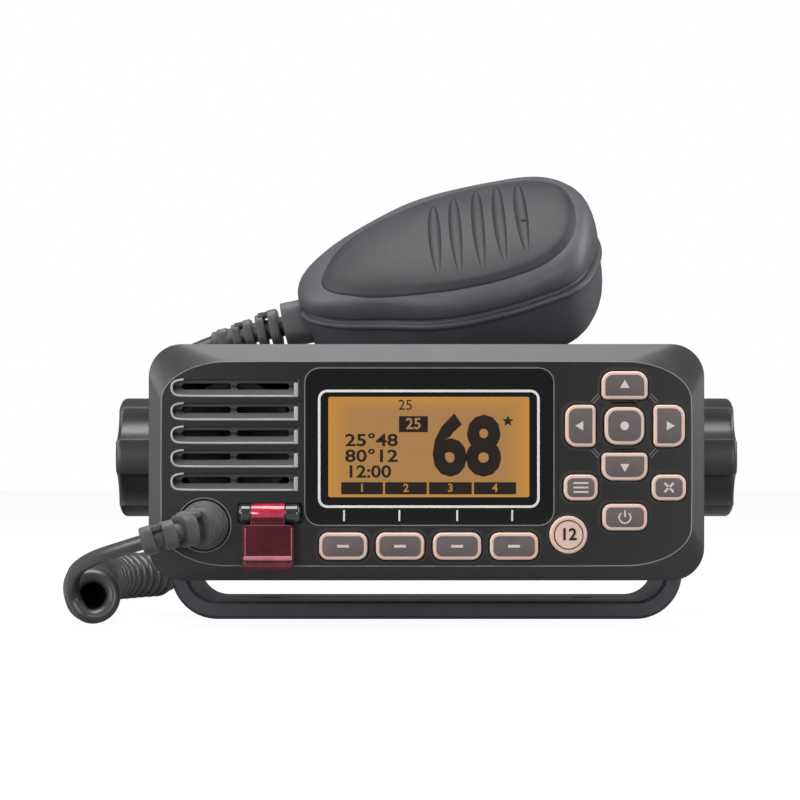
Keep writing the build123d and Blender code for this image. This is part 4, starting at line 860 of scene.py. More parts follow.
class RADIO_OT_boots(bpy.types.Operator):
    """Moulds the two ribbed strain reliefs."""
    bl_idname = "radio.boots"
    bl_label = "Ribbed boots"

    # each rib: how far along it is, its half-width and thickness, and whether it is joined to the next on top
    panel_ribs = ((4.2, 5.0, 3.0, True), (8.8, 4.5, 3.6, False), (13.6, 3.9, 3.4, True),
                  (19.2, 4.0, 3.4, False))
    mic_ribs = ((4.4, 6.6, 10.2, False), (12.9, 5.6, 2.8, True), (17.3, 4.9, 2.5, False),
                (21.5, 4.3, 2.5, True), (25.5, 3.7, 2.5, False), (30.0, 3.3, 3.2, False))
    panel_core = 5.0 * MM
    mic_core = 6.0 * MM
    # radius and depth of the root's dome, from its tip to the foot of its last ring
    dome_profile = ((0.0, -7.2), (3.6, -7.0), (4.6, -6.2), (5.0, -4.6), (5.6, -4.3), (5.9, -3.6), (6.0, -2.4),
                    (6.5, -2.1), (6.75, -1.3), (6.8, 0.7))
    # how much of its half-width rounds a rib's corners
    rib_rounding = 0.62
    rib_edge = 0.35 * MM
    # a web's width as a share of its rib's half-width, its thickness, and how far inside the rib it is
    web_share = 1.3
    web_thickness = 1.5 * MM
    web_sunk = 1.1 * MM
    web_edge = 0.3 * MM

    def execute(self, context):
        self.boot("panel_boot_ribbed", metres(BOOT_NECK), self.panel_ribs, self.panel_core, "radio",
                  "panel_boot", 1)
        complete(self.root_dome(), "panel_boot_root", black_rubber(), "radio")
        self.boot("mic_boot_ribbed", metres(MIC_BOOT_LINE), self.mic_ribs, self.mic_core, "mic",
                  "mic_boot", 0.1)
        return {"FINISHED"}

    def root_dome(self):
        """The ringed dome that fills the recess, drawn in ring by ring along the inlet's axis."""
        low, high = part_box("cord_gland")
        centre = (low + high) / 2
        rings = self.dome_profile[::-1]
        radius, depth = rings[0]
        start()
        bpy.ops.mesh.primitive_circle_add(vertices=48, radius=radius * MM,
                                          location=(centre.x, PANEL_FACE + depth * MM, centre.z),
                                          rotation=(math.pi / 2, 0, 0), fill_type="NGON")
        piece = settle()
        edit_whole(piece)
        for (radius, depth), (next_radius, next_depth) in zip(rings, rings[1:]):
            step = (0, (next_depth - depth) * MM, 0)
            bpy.ops.mesh.extrude_edges_move(TRANSFORM_OT_translate={"value": step})
            share = max(next_radius, 0.02) / radius
            bpy.ops.transform.resize(value=(share, 1, share), center_override=(centre.x, 0, centre.z))
        bpy.ops.mesh.merge(type="CENTER")
        bpy.ops.mesh.select_all(action="SELECT")
        bpy.ops.mesh.normals_make_consistent(inside=False)
        bpy.ops.object.mode_set(mode="OBJECT")
        return piece

    def boot(self, name, route, ribs, core, body, node, lean):
        """A round core with square ribs along it, some joined in pairs by a web on top.

        The ribs follow the core's slope across and up, and the share lean of its slope along Y.
        """
        line = cord_line(route)
        along = distances(line)
        parts = [cord_tube(route, core, resolution=8)]
        for number, (distance, half_width, thickness, webbed) in enumerate(ribs):
            centre, direction = point_at(line, along, distance * MM)
            direction = Vector((direction.x, direction.y * lean, direction.z)).normalized()
            parts.append(self.rib(centre, direction, half_width * MM, thickness * MM))
            if webbed:
                after, _ = point_at(line, along, ribs[number + 1][0] * MM)
                parts.append(self.web((centre + after) / 2, direction, half_width * MM,
                                      (after - centre).length))
        complete(joined(parts), name, black_rubber(), body, (node,), smooth=40)

    def rib(self, centre, direction, half_width, thickness):
        start()
        turn = direction.to_track_quat("Z", "Y").to_euler()
        bpy.ops.mesh.primitive_cube_add(size=1, location=centre, rotation=turn,
                                        scale=(2 * half_width, 2 * half_width, thickness))
        piece = settle()
        pick(piece, "edges", lambda edge: self.runs_along(piece, edge, direction))
        bpy.ops.mesh.bevel(offset=self.rib_rounding * half_width, segments=6, affect="EDGES")
        bpy.ops.object.mode_set(mode="OBJECT")
        apply_modifier(piece, "BEVEL", width=self.rib_edge, segments=3, limit_method="ANGLE",
                       angle_limit=math.radians(50))
        return piece

    def runs_along(self, piece, edge, direction):
        first, second = (piece.data.vertices[at].co for at in edge.vertices)
        return abs((second - first).normalized().dot(direction)) > 0.99

    def web(self, centre, direction, half_width, length):
        """The block between two ribs, on the side that looks up most."""
        turn = direction.to_track_quat("Z", "Y")
        up = turn @ Vector((0, 1, 0))
        side = up if abs(up.z) > 0.5 else turn @ Vector((1, 0, 0))
        outward = side if side.z > 0 else -side
        across = direction.cross(outward)
        start()
        bpy.ops.mesh.primitive_cube_add(size=1, location=centre + outward * (half_width - self.web_sunk))
        piece = bpy.context.object
        for vertex in piece.data.vertices:
            at = vertex.co.copy()
            vertex.co = (direction * (at.x * length) + across * (at.y * self.web_share * half_width)
                         + outward * (at.z * self.web_thickness))
        piece = settle()
        apply_modifier(piece, "BEVEL", width=self.web_edge, segments=2)
        return piece


class RADIO_OT_microphone(bpy.types.Operator):
    """Shapes the microphone's two case halves and the plate of its face."""
    bl_idname = "radio.microphone"
    bl_label = "Microphone case"

    # height over the parting plane and how much of the outline's size, from the rim inwards
    front_loops = ((0.2, 0.972), (0.5, 0.992), (1.6, 1.0), (5.7, 1.0), (9.8, 0.985), (12.3, 0.955),
                   (13.8, 0.91), (14.8, 0.85), (15.6, 0.78), (16.4, 0.6), (16.4, 0.3), (16.4, 0.08))
    rear_loops = ((-0.2, 0.965), (-1.2, 0.967), (-1.4, 0.985), (-1.8, 1.012), (-2.9, 1.014), (-3.3, 1.002),
                  (-3.5, 0.99), (-9.0, 0.995), (-16.0, 0.975), (-19.5, 0.935), (-21.8, 0.87), (-23.0, 0.75),
                  (-23.0, 0.5), (-23.0, 0.2))
    # height over the case and how much of the plate's size
    plate_loops = ((-1.2, 1.0), (0.4, 1.0), (0.55, 0.992), (1.15, 0.935), (PLATE_RISE, 0.92),
                   (PLATE_RISE, 0.86), (PLATE_RISE, 0.65), (PLATE_RISE, 0.4), (PLATE_RISE, 0.2),
                   (PLATE_RISE, 0.06))
    # the arc of the face across it: how it leans and how it bends
    crown_lean = 0.00565
    crown_bend = 0.000473
    # where the case's height starts to fall toward the cord end, how far that goes on, and by what share
    fall_start = 10
    fall_length = 55
    front_fall = 0.6
    rear_fall = 0.2
    # how far the chassis's top lies under the patch that the case rests on
    rest_gap = 0.3 * MM
    # the far and the near end of each leaf-shaped groove, in millimetres along and across the case
    leaves = (((1.7, 7.6), (-1.7, -21.6)), ((8.2, 9.6), (4.4, -23.0)), ((15.3, 11.1), (11.1, -23.5)),
              ((21.5, 10.8), (17.7, -22.8)), ((27.7, 9.1), (24.6, -21.5)))
    leaf_half_width = 1.9
    leaf_depth = 1.2
    hole_place = (26.4, -8.6)
    hole_radius = 0.7 * MM
    hole_height = 0.8 * MM
    hole_rim = 0.2 * MM
    hole_depth = 0.3 * MM
    # room round a button in its pocket, and how far the buttons go in
    pocket_room = 0.3 * MM
    travel = 1.8 * MM

    def execute(self, context):
        upper = [Vector((u, v, 0)) for u, v in MIC_OUTLINE]
        lower = [Vector((u, -v, 0)) for u, v in MIC_OUTLINE[-2:0:-1]]
        rim = self.outline(upper + lower)
        front = self.lofted(rim, MIC_MIDDLE, self.front_loops, self.front_height)
        rear = self.lofted(rim, MIC_MIDDLE, self.rear_loops, self.rear_height)
        self.rest_flat(rear)
        for piece in (front, rear):
            for node in ("mic_ptt_button", "mic_key_up", "mic_key_down"):
                self.cut(piece, self.pocket_cutter(node))
        complete(without_slivers(front), "mic_case_front", mic_abs(), "mic",
                 ("mic_front_shell",), smooth=30)
        complete(rear, "mic_case_rear", mic_abs(), "mic", ("mic_rear_shell",), smooth=30)
        self.front = front
        plate_rim = self.outline([Vector((u, v, 0)) for u, v in PLATE_OUTLINE])
        face_plate = self.lofted(plate_rim, PLATE_MIDDLE, self.plate_loops, self.plate_height)
        for far, near in self.leaves:
            self.cut(face_plate, self.leaf_cutter(Vector(far), Vector(near)))
        complete(without_slivers(face_plate), "mic_face_plate", plate_abs(), "mic", smooth=28)
        self.add_sound_hole()
        return {"FINISHED"}

    def crown(self, v):
        """The height of the face a given distance across it, as a share of its middle's."""
        return 1 + self.crown_lean * v - self.crown_bend * v * v

    def slope(self, u, fall):
        """The height of the case a given distance along it, as a share of its top's."""
        return 1 - fall * min(max((self.fall_start - u) / self.fall_length, 0.0), 1.0) ** 2

    def front_height(self, at):
        return at.z * self.crown(at.y) * self.slope(at.x, self.front_fall)

    def rear_height(self, at):
        return at.z * self.slope(at.x, self.rear_fall)

    def plate_height(self, at):
        return self.case_height(at) + at.z

    def case_height(self, at):
        """The height of the front half about a point of the parting plane, read off its mesh."""
        heights = []
        for along, across in ((0, 0), (1, 0), (-1, 0), (0, 1), (0, -1)):
            over = self.placed(Vector((at.x + along, at.y + across, 40.0)))
            found, place, _, _ = self.front.ray_cast(over, -MIC_W)
            if found:
                heights.append((place - MIC_CENTRE).dot(MIC_W) / MM)
        return sum(heights) / len(heights)

    def outline(self, points, count=72):
        """Points at even distances on a smooth closed line through the given ones."""
        curve = bpy.data.curves.new("outline", "CURVE")
        curve.dimensions = "3D"
        curve.resolution_u = 16
        spline = curve.splines.new("BEZIER")
        spline.bezier_points.add(len(points) - 1)
        for point, place in zip(spline.bezier_points, points):
            point.co = place
            point.handle_left_type = point.handle_right_type = "AUTO"
        spline.use_cyclic_u = True
        line = line_of(curve)
        line.append(line[0])
        along = distances(line)
        return [point_at(line, along, along[-1] * number / count)[0] for number in range(count)]

    def lofted(self, rim, middle, loops, height_of):
        """The outline extruded loop by loop, smoothed, bent to its heights and placed."""
        start()
        bpy.ops.mesh.primitive_circle_add(vertices=len(rim), radius=1.0, fill_type="NOTHING")
        piece = bpy.context.object
        height, share = loops[0]
        for vertex, place in zip(piece.data.vertices, rim):
            vertex.co = middle + (place - middle) * share + Vector((0, 0, height))
        edit_whole(piece)
        for (height, share), (next_height, next_share) in zip(loops, loops[1:]):
            lift = (0, 0, next_height - height)
            bpy.ops.mesh.extrude_edges_move(TRANSFORM_OT_translate={"value": lift})
            ratio = next_share / share
            bpy.ops.transform.resize(value=(ratio, ratio, 1), center_override=middle)
        bpy.ops.mesh.edge_face_add()
        bpy.ops.object.mode_set(mode="OBJECT")
        apply_modifier(piece, "SUBSURF", levels=1, render_levels=1)
        self.close_rim(piece, loops[0][0])
        for vertex in piece.data.vertices:
            vertex.co = self.placed(Vector((vertex.co.x, vertex.co.y, height_of(vertex.co))))
        return piece

    def placed(self, at):
        """A point of the case's own frame, in the shared one."""
        return MIC_CENTRE + (MIC_U * at.x + MIC_V * at.y + MIC_W * at.z) * MM

    def close_rim(self, piece, height):
        """A flat closure across the open rim, so that the half is a closed body."""
        pick(piece, "edges", lambda edge: all(abs(piece.data.vertices[at].co.z - height) < 0.01
                                              for at in edge.vertices))
        bpy.ops.mesh.edge_face_add()
        bpy.ops.mesh.select_all(action="SELECT")
        bpy.ops.mesh.normals_make_consistent(inside=False)
        bpy.ops.object.mode_set(mode="OBJECT")

    def rest_flat(self, piece):
        """The patch that the case rests on, level with the top of the chassis."""
        edit_whole(piece)
        bpy.ops.mesh.bisect(plane_co=(0, 0, CHASSIS_TOP + self.rest_gap), plane_no=(0, 0, 1), use_fill=True,
                            clear_inner=True)
        bpy.ops.object.mode_set(mode="OBJECT")

    def leaf_cutter(self, far, near):
        """A long scoop that follows the crowned face, pointed at both ends."""
        start()
        bpy.ops.mesh.primitive_uv_sphere_add(segments=24, ring_count=24, radius=1.0)
        piece = bpy.context.object
        for vertex in piece.data.vertices:
            at = vertex.co.copy()
            on_face = (far + near) / 2 + (far - near) / 2 * at.z
            across = on_face.x + at.x * self.leaf_half_width
            height = self.case_height(Vector((across, on_face.y, 0))) + PLATE_RISE - at.y * self.leaf_depth
            vertex.co = self.placed(Vector((across, on_face.y, height)))
        return piece

    def add_sound_hole(self):
        """The small dark hole in the last groove."""
        u, v = self.hole_place
        height = self.case_height(Vector((u, v, 0)))
        start()
        turn = MIC_W.to_track_quat("Z", "Y").to_euler()
        bpy.ops.mesh.primitive_cylinder_add(vertices=24, radius=self.hole_radius, depth=self.hole_height,
                                            rotation=turn, location=self.placed(Vector((u, v, height))))
        piece = settle()
        pick(piece, "polygons", lambda face: face.normal.dot(MIC_W) > 0.9)
        bpy.ops.mesh.inset(thickness=self.hole_rim, depth=-self.hole_depth)
        bpy.ops.object.mode_set(mode="OBJECT")
        complete(piece, "mic_sound_hole", grey_module(), "mic")

    def pocket_cutter(self, node):
        """A block a little larger than a button and its travel, in the case's own directions."""
        points = [vertex.co - MIC_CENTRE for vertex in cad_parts[node].data.vertices]
        spans = []
        for axis in (MIC_U, MIC_V, MIC_W):
            values = [point.dot(axis) for point in points]
            spans.append([min(values) - self.pocket_room, max(values) + self.pocket_room])
        spans[1][0] -= self.travel
        start()
        bpy.ops.mesh.primitive_cube_add(size=1)
        piece = bpy.context.object
        for vertex in piece.data.vertices:
            at = [spans[axis][0] if vertex.co[axis] < 0 else spans[axis][1] for axis in range(3)]
            vertex.co = MIC_CENTRE + MIC_U * at[0] + MIC_V * at[1] + MIC_W * at[2]
        return piece

    def cut(self, piece, cutter):
        """Takes a cutter's shape out of a piece. The cutter is used up."""
        apply_modifier(piece, "BOOLEAN", operation="DIFFERENCE", object=cutter, solver="EXACT")
        bpy.data.objects.remove(cutter)


KEYS = ("soft_key_1", "soft_key_2", "soft_key_3", "soft_key_4", "key_up", "key_down", "key_left",
        "key_right", "key_enter", "key_menu", "key_clear", "key_power")
# corner radii of the keys, from the lower left clockwise, where an arrow's outer corners are the rounder ones
OUTER = 3.2 * MM
INNER = 1.4 * MM
KEY_CORNERS = {node: mm(2.6) * 4 for node in KEYS}
KEY_CORNERS.update({node: mm(2.5) * 4 for node in ("key_menu", "key_clear", "key_power")})
KEY_CORNERS.update(key_up=(INNER, OUTER, OUTER, INNER), key_down=(OUTER, INNER, INNER, OUTER),
                   key_left=(OUTER, OUTER, INNER, INNER), key_right=(INNER, INNER, OUTER, OUTER),
                   key_enter=mm(3.4) * 4)


class RADIO_OT_keys(bpy.types.Operator):
    """Adds each key's printed face and its plain mark."""
    bl_idname = "radio.keys"
    bl_label = "Key faces"

    least_corner = 0.45 * MM
    face_sunk = 0.4 * MM
    face_edge = 0.1 * MM
    # the marks: how the arrows turn, radii, and lengths and widths of lines
    arrow_turns = {"key_up": 0.0, "key_right": math.pi / 2, "key_down": math.pi, "key_left": -math.pi / 2}
    arrow_radius = 1.5 * MM
    dot_radius = 1.2 * MM
    dash = mm(3.3, 0.75)
    menu_line = mm(4.2, 0.5)
    menu_step = 1.25 * MM
    cross_line = mm(3.6, 0.6)
    power_line = mm(0.5, 1.9)
    power_line_up = 1.0 * MM
    # the power mark's ring is open at the top, from 40 degrees on one side to 40 on the other
    power_radius = 1.6 * MM
    power_width = 0.45 * MM
    power_down = 0.1 * MM
    power_sunk = 0.05 * MM
    power_angles = [math.radians(50 - 10 * step) for step in range(29)]
    # the round key's ring, as a share of its radius, and its figures
    ring_share = 0.76
    ring_width = 0.3 * MM
    figure_height = 3.4 * MM
    figure_weight = 0.1 * MM

    def execute(self, context):
        sizes = settings("key_sizes")
        for node in KEYS:
            low, high = self.cap(node)
            radii = [max(radius - sizes.rim, self.least_corner) for radius in KEY_CORNERS[node]]
            face = plate(widened(low.x, high.x, -sizes.rim), widened(low.z, high.z, -sizes.rim), radii,
                         low.y - sizes.face_proud, self.face_sunk + sizes.face_proud, self.face_edge)
            complete(face, f"{node}_face", key_face_print(), node)
            front = low.y - sizes.face_proud - sizes.mark_proud
            mark = joined(self.mark(node, (low + high) / 2, front, 2 * sizes.mark_proud))
            complete(mark, f"{node}_mark", pale_print(), node)
        self.round_key()
        return {"FINISHED"}

    def cap(self, node):
        """The box of a key's cap, inside its flange."""
        low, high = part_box(node)
        inset = Vector((KEY_FLANGE, 0, KEY_FLANGE))
        return low + inset, high - inset

    def mark(self, node, centre, front, thickness):
        """The parts of a key's mark."""
        x, z = centre.x, centre.z
        if node in self.arrow_turns:
            return [disc(x, z, self.arrow_radius, front, thickness, 3, self.arrow_turns[node])]
        if node == "key_menu":
            return [bar(x, z + row * self.menu_step, self.menu_line, front, thickness) for row in (-1, 0, 1)]
        if node == "key_clear":
            return [bar(x, z, self.cross_line, front, thickness, side * math.pi / 4) for side in (1, -1)]
        if node == "key_power":
            middle = centre - Vector((0, 0, self.power_down))
            ring_line = arc(middle, self.power_radius, front + self.power_sunk, self.power_angles)
            return [fine_line(ring_line, self.power_width, closed=False),
                    bar(x, z + self.power_line_up, self.power_line, front, thickness)]
        if node == "key_enter":
            return [disc(x, z, self.dot_radius, front, thickness)]
        return [bar(x, z, self.dash, front, thickness)]

    def round_key(self):
        """The ring and the figures of the round key."""
        low, high = self.cap("key_channel")
        centre = (low + high) / 2
        proud = settings("key_sizes").mark_proud
        radius = (high.x - low.x) / 2 * self.ring_share
        piece = fine_line(arc(centre, radius, low.y, full_turn(32)), self.ring_width)
        complete(piece, "key_channel_ring", dark_print(), "key_channel")
        figures = printed("12", centre.x, centre.z, self.figure_height, low.y - proud, 2 * proud,
                          self.figure_weight)
        complete(figures, "key_channel_figures", dark_print(), "key_channel")


class RADIO_OT_display(bpy.types.Operator):
    """Adds the display's ground, figures and silver line, and the ticks over the soft keys."""
    bl_idname = "radio.display"
    bl_label = "Display"

    ground_x = mm(-27.5, 28.8)
    ground_z = mm(37.2, 65.3)
    tick_places = mm(-23.1, -7.6, 8.6, 24.0)
    tick_half_width = 0.25 * MM
    tick_z = mm(30.5, 33.6)
    # each row's text, place, height and weight in millimetres, and its width as a share
    dark_figures = (("68", 11.2, 50.7, 16.2, 0.9, 0.86), ("25", -5.9, 62.9, 3.0, 0.0, 1.0),
                    ("25\u00b048", -15.4, 53.0, 3.5, 0.1, 1.3), ("80\u00b012", -15.4, 48.6, 3.5, 0.1, 1.3),
                    ("12:00", -16.2, 44.2, 3.5, 0.1, 1.2))
    pale_figures = (("1", -18.05, 39.7, 2.3, 0.08, 1.0), ("2", -5.75, 39.7, 2.3, 0.08, 1.0),
                    ("3", 6.7, 39.7, 2.3, 0.08, 1.0), ("4", 19.2, 39.7, 2.3, 0.08, 1.0),
                    ("25", -3.65, 57.65, 3.2, 0.08, 1.0))
    # the dark fields that the pale figures stand on
    fields = ((mm(-23.9, -12.2), mm(38.0, 41.4)), (mm(-11.6, 0.1), mm(38.0, 41.4)),
              (mm(0.7, 12.7), mm(38.0, 41.4)), (mm(13.3, 25.1), mm(38.0, 41.4)),
              (mm(-7.7, 0.4), mm(55.4, 59.9)))
    star_place = mm(22.8, 58.5)
    star_radius = 1.7 * MM
    # how far from its middle a star's inner corners are, as a share of its radius
    star_notch = 0.42
    # the mask's width, and how far it and the silver line reach past what they frame
    mask_width = 2.3 * MM
    mask_reach = 2.4 * MM
    line_reach = 1.2 * MM
    ground_corners = mm(0.5) * 4
    mask_corners = mm(2.0) * 4
    line_corners = mm(2.6) * 4
    field_corners = mm(0.2) * 4
    tick_corners = mm(0.1) * 4
    layer_thickness = 0.2 * MM
    print_thickness = 0.06 * MM
    # how far each layer stands off the window, and how deep the two thick ones go into it
    ground_sunk = 0.3 * MM
    tick_sunk = 0.1 * MM
    ground_off = 0.02 * MM
    mask_off = 0.03 * MM
    dark_off = 0.04 * MM
    tick_off = 0.06 * MM
    pale_off = 0.07 * MM
    line_off = 0.08 * MM

    def execute(self, context):
        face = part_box("display_window")[0].y
        ground = plate(self.ground_x, self.ground_z, self.ground_corners, face - self.ground_off,
                       self.ground_sunk + self.ground_off)
        complete(ground, "display_ground", screen_glow(), "radio")
        mask = ring(widened(*self.ground_x, self.mask_reach), widened(*self.ground_z, self.mask_reach),
                    self.mask_corners, self.mask_width, face - self.mask_off, self.layer_thickness)
        complete(mask, "display_mask", window_acrylic(), "radio", smooth=0)
        low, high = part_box("lcd_panel")
        line = ring(widened(low.x, high.x, self.line_reach), widened(low.z, high.z, self.line_reach),
                    self.line_corners, settings("key_sizes").frame_width, face - self.line_off,
                    self.layer_thickness)
        complete(line, "display_frame_line", silver_print(), "radio")
        figures = [self.figure(row, face - self.dark_off) for row in self.dark_figures]
        figures += [plate(x_range, z_range, self.field_corners, face - self.dark_off, self.print_thickness)
                    for x_range, z_range in self.fields]
        figures.append(self.star(face - self.dark_off))
        complete(joined(figures), "display_figures", dark_print(), "radio", smooth=0)
        marks = [self.figure(row, face - self.pale_off) for row in self.pale_figures]
        complete(joined(marks), "display_reversed_figures", screen_glow(), "radio", smooth=0)
        for number, x in enumerate(self.tick_places):
            tick = plate(widened(x, x, self.tick_half_width), self.tick_z, self.tick_corners,
                         face - self.tick_off, self.tick_sunk + self.tick_off)
            complete(tick, f"soft_tick_{number + 1}", silver_print(), "radio")
        return {"FINISHED"}

    def figure(self, row, front):
        """The print of one row of figures."""
        text, x, z, height, weight, width = row
        return printed(text, *mm(x, z, height), front, self.print_thickness, weight * MM, width)

    def star(self, front):
        """A five-pointed star, made of a disc of ten corners."""
        x, z = self.star_place
        piece = disc(x, z, self.star_radius, front, self.print_thickness, corners=10)
        for vertex in piece.data.vertices:
            offset = Vector((vertex.co.x - x, 0, vertex.co.z - z))
            step = round(math.atan2(offset.x, offset.z) / (math.pi / 5))
            if step % 2:
                vertex.co = Vector((x, vertex.co.y, z)) + offset * self.star_notch
        return piece


class RADIO_OT_trim(bpy.types.Operator):
    """Adds the panel's fine raised edges, which are lines of painted highlight, and rings of painted shade
    round its keys.
    """
    bl_idname = "radio.trim"
    bl_label = "Panel edges"

    # the flat face's right edge, its lower and upper edge, and how far its corners reach along both
    face_x = 74.35 * MM
    face_z = mm(17.9, 75.2)
    face_corner = mm(19.0, 11.0)
    edge_width = 0.36 * MM
    # the grille's sides, its lowest lip and the step from groove to groove, in millimetres
    grille_x = (-71.5, -36.0)
    lowest_lip = 39.2
    lip_pitch = 6.58
    groove_height = 4.6
    # a straight lip's width, and how far its ends lie under the groove's foot and top, in millimetres
    end_lip = 1.1
    end_lip_under = 0.3
    end_lip_short = 0.9
    lip_width = 0.62 * MM
    lip_proud = 0.25 * MM
    lip_sunk = 0.9 * MM
    lip_edge = 0.15 * MM
    lip_corners = mm(0.3) * 4
    inlet_radius = 7.6 * MM
    # the fine line of painted highlight round the display's window
    insert_reach = 0.35 * MM
    insert_corners = mm(4.3) * 4
    insert_width = 0.3 * MM
    insert_proud = 0.12 * MM
    insert_thickness = 0.3 * MM
    # the middle of the arrow keys, and from there to the middle of a pair of lines
    cluster = mm(55.5, 57.2)
    cluster_reach = mm(8.1, 7.6)
    cluster_apart = 0.28 * MM
    cluster_turn = math.radians(48)
    cluster_line = mm(2.9, 0.22)
    line_proud = 0.08 * MM
    line_thickness = 0.12 * MM
    # the width of the ring of painted shade round a key, and the gap that it leaves round the key
    shade_width = 0.9 * MM
    enter_shade_width = 1.2 * MM
    shade_gap = 0.25 * MM
    shade_off = 0.03 * MM
    shade_thickness = 0.08 * MM

    def execute(self, context):
        self.face_edge()
        self.grille_lips()
        low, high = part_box("display_window")
        insert = ring(widened(low.x, high.x, self.insert_reach), widened(low.z, high.z, self.insert_reach),
                      self.insert_corners, self.insert_width, PANEL_FACE - self.insert_proud,
                      self.insert_thickness)
        complete(insert, "display_insert_edge", painted_edge_highlight(), "radio")
        self.inlet_edge()
        self.key_wells()
        self.cluster_lines()
        return {"FINISHED"}

    def face_edge(self):
        """The fine line of painted highlight round the panel's flat face."""
        reach_x, reach_z = self.face_corner
        middle = sum(self.face_z) / 2
        flat_x = self.face_x - reach_x
        flat_z = (self.face_z[1] - self.face_z[0]) / 2 - reach_z
        points = []
        for number, (right, up) in enumerate(((1, 1), (-1, 1), (-1, -1), (1, -1))):
            for step in range(9):
                angle = math.pi / 2 * (number + step / 8)
                points.append(Vector((right * flat_x + reach_x * math.cos(angle), PANEL_FACE,
                                      middle + up * flat_z + reach_z * math.sin(angle))))
        edge = fine_line(points, self.edge_width)
        complete(edge, "panel_face_edge", painted_edge_highlight(), "radio")

    def grille_lips(self):
        """Each groove's lips, in a paler grey as painted highlight: one along its foot and round its left
        end, and one up its right end.
        """
        left, right = self.grille_x
        face = PANEL_FACE / MM
        parts = []
        for row in range(5):
            lip = self.lowest_lip + row * self.lip_pitch
            top = lip + self.groove_height
            line = [(left + 3.5, face, top), (left + 0.8, face, top - 0.2), (left - 0.1, face, lip + 2.6),
                    (left + 0.6, face, lip + 0.3), (left + 3.5, face, lip), ((left + right) / 2, face, lip),
                    (right - 1.2, face, lip)]
            parts.append(cord_tube(metres(line), self.lip_width, sides=3))
            parts.append(plate(mm(right - self.end_lip, right),
                               mm(lip - self.end_lip_under, top - self.end_lip_short), self.lip_corners,
                               PANEL_FACE - self.lip_proud, self.lip_sunk + self.lip_proud, self.lip_edge))
        complete(joined(parts), "grille_lips", painted_lip_highlight(), "radio")

    def inlet_edge(self):
        """The fine ring of painted highlight round the recess that the cord enters by."""
        low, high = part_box("cord_gland")
        edge = fine_line(arc((low + high) / 2, self.inlet_radius, PANEL_FACE, full_turn(24)), self.edge_width)
        complete(edge, "inlet_edge", painted_edge_highlight(), "radio")

    def key_wells(self):
        """Flat rings of painted shade that the keys stand in."""
        front = PANEL_FACE - self.shade_off
        parts = []
        for node in KEYS:
            low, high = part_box(node)
            width = self.enter_shade_width if node == "key_enter" else self.shade_width
            radii = [radius + width for radius in KEY_CORNERS[node]]
            reach = width - (KEY_FLANGE - self.shade_gap)
            parts.append(ring(widened(low.x, high.x, reach), widened(low.z, high.z, reach), radii,
                              width - self.shade_gap, front, self.shade_thickness))
        low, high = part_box("key_channel")
        radius = (high.x - low.x) / 2 - KEY_FLANGE + self.shade_width
        round_shade = disc((low.x + high.x) / 2, (low.z + high.z) / 2, radius, front, self.shade_thickness)
        parts.append(cut_through(round_shade, self.shade_width - self.shade_gap))
        complete(joined(parts), "key_wells", painted_key_shade(), "radio", smooth=0)

    def cluster_lines(self):
        """The pairs of fine lines of painted highlight between the arrow keys."""
        parts = []
        for right in (-1, 1):
            for up in (-1, 1):
                for shift in (-self.cluster_apart, self.cluster_apart):
                    x = self.cluster[0] + right * (self.cluster_reach[0] + shift)
                    z = self.cluster[1] + up * (self.cluster_reach[1] + shift)
                    parts.append(bar(x, z, self.cluster_line, PANEL_FACE - self.line_proud,
                                     self.line_thickness, right * up * self.cluster_turn))
        complete(joined(parts), "key_cluster_lines", painted_edge_highlight(), "radio")


class RADIO_OT_distress(bpy.types.Operator):
    """Adds the bright knuckle of the distress cover, and its ledge and side edges in a pale pink as painted
    highlight.
    """
    bl_idname = "radio.distress"
    bl_label = "Distress cover"

    knuckle_x = mm(-48.9, -39.5)
    knuckle_radius = 2.86 * MM
    ledge_z = mm(19.6, 20.8)
    lower_field_z = mm(17.7, 19.5)
    edge_middle = 24.8 * MM
    edge_size = mm(0.22, 7.6)
    # how far each part stops short of the cover's sides, and how far it stands off its face and goes into it
    ledge_inset = 0.4 * MM
    field_inset = 0.5 * MM
    left_edge_inset = 0.85 * MM
    right_edge_inset = 0.55 * MM
    ledge_proud = 0.35 * MM
    field_proud = 0.12 * MM
    edge_proud = 0.1 * MM
    sunk = 0.4 * MM
    ledge_corners = mm(0.3) * 4
    ledge_edge = 0.25 * MM
    field_corners = mm(0.5) * 4
    field_edge = 0.1 * MM
    knuckle_edge = 0.25 * MM

    def execute(self, context):
        low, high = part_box("distress_cover")
        self.knuckle()
        # painted highlight: the ledge in a pale pink
        ledge = plate(widened(low.x, high.x, -self.ledge_inset), self.ledge_z, self.ledge_corners,
                      low.y - self.ledge_proud, self.sunk + self.ledge_proud, self.ledge_edge)
        complete(ledge, "cover_ledge", painted_ledge_highlight(), "distress_cover")
        lower = plate(widened(low.x, high.x, -self.field_inset), self.lower_field_z, self.field_corners,
                      low.y - self.field_proud, self.sunk + self.field_proud, self.field_edge)
        complete(lower, "cover_lower_field", deep_red(), "distress_cover")
        # painted highlight: pale lines down the cover's two sides
        edges = [bar(x, self.edge_middle, self.edge_size, low.y - self.edge_proud, 2 * self.edge_proud)
                 for x in (low.x + self.left_edge_inset, high.x - self.right_edge_inset)]
        complete(joined(edges), "cover_edges", painted_ledge_highlight(), "distress_cover")
        return {"FINISHED"}

    def knuckle(self):
        """The bright round middle of the hinge, on its pin."""
        low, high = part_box("hinge_pin")
        pin = (low + high) / 2
        left, right = self.knuckle_x
        start()
        bpy.ops.mesh.primitive_cylinder_add(vertices=48, radius=self.knuckle_radius, depth=right - left,
                                            rotation=(0, math.pi / 2, 0),
                                            location=((left + right) / 2, pin.y, pin.z))
        piece = settle()
        bevel_rim(piece, lambda face: abs(face.normal.x) > 0.9, self.knuckle_edge, 2)
        complete(piece, "cover_knuckle", bright_red(), "distress_cover")


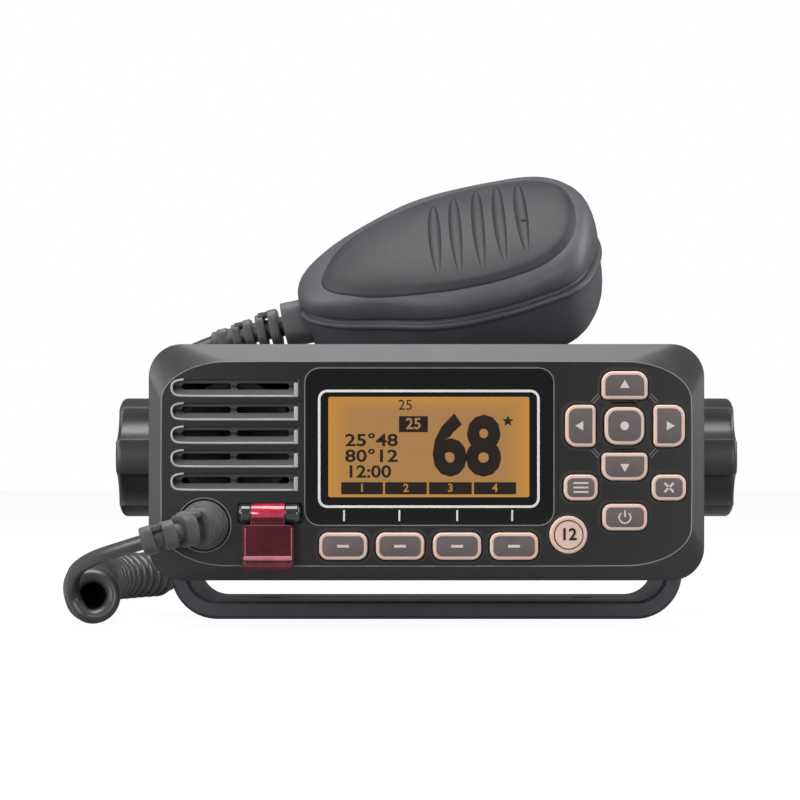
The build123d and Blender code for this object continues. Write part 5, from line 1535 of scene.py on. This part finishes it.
# the finish of each node of the frame, those that a modelled piece replaces too
NODE_FINISHES = {
    panel_abs: ("front_panel",),
    chassis_coat: ("chassis",),
    yoke_nylon: ("bracket",),
    knob_nylon: ("knob_left", "knob_right"),
    window_acrylic: ("display_window",),
    key_rim_silicone: KEYS + ("key_channel",),
    black_rubber: ("panel_seal", "power_gland", "accessory_gland", "cord_gland", "mic_ptt_button",
                   "mic_key_up", "mic_key_down", "panel_boot", "mic_boot"),
    cord_jacket: ("cord_front_tail", "cord_coil", "cord_rise", "cord_mic_tail"),
    circuit_board: ("front_board", "main_board", "mic_board"),
    stainless: ("panel_screws", "board_screws", "mic_screws", "knob_stud_left", "knob_stud_right",
                "hinge_pin", "shield_can"),
    nickel: ("antenna_socket", "antenna_nut", "mic_hanger_button", "mic_element"),
    brass: ("pivot_bushes",),
    grey_module: ("power_module", "friction_washers"),
    blacked_steel: ("speaker_frame",),
    paper_cone: ("speaker_cone",),
    flat_cable: ("ribbon_cable",),
    clear_guide: ("light_guide", "keypad_mat"),
    screen_glow: ("lcd_panel",),
    cover_red: ("distress_cover",),
    button_red: ("distress_button",),
    ear_clear: ("hinge_ears",),
    mic_abs: ("mic_front_shell", "mic_rear_shell"),
}


class RADIO_OT_finishes(bpy.types.Operator):
    """Gives each node of the frame its real finish."""
    bl_idname = "radio.finishes"
    bl_label = "Finishes"

    def execute(self, context):
        for finish, nodes in NODE_FINISHES.items():
            for node in nodes:
                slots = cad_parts[node].data.materials
                slots.clear()
                slots.append(finish())
        return {"FINISHED"}


STEPS = (RADIO_OT_stage, RADIO_OT_cords, RADIO_OT_finishes, RADIO_OT_boots, RADIO_OT_microphone,
         RADIO_OT_keys, RADIO_OT_display, RADIO_OT_trim, RADIO_OT_distress)


class RADIO_PT_build(bpy.types.Panel):
    """Lists the steps that build the radio."""
    bl_idname = "RADIO_PT_build"
    bl_label = "Marine radio"
    bl_space_type = "VIEW_3D"
    bl_region_type = "UI"
    bl_category = "Radio"

    def draw(self, context):
        for step in STEPS:
            self.layout.operator(step.bl_idname)


GROUPS = {"cord_sizes": CordSizes, "key_sizes": KeySizes, "colours": RadioColours}


def register():
    for name, group in GROUPS.items():
        bpy.utils.register_class(group)
        setattr(bpy.types.Scene, name, bpy.props.PointerProperty(type=group))
    for step in STEPS + (RADIO_PT_build,):
        bpy.utils.register_class(step)


def unregister():
    for step in STEPS + (RADIO_PT_build,):
        bpy.utils.unregister_class(step)
    for name, group in GROUPS.items():
        delattr(bpy.types.Scene, name)
        bpy.utils.unregister_class(group)


def main():
    register()
    for step in STEPS:
        space, name = step.bl_idname.split(".")
        getattr(getattr(bpy.ops, space), name)()


if __name__ == "__main__":
    main()
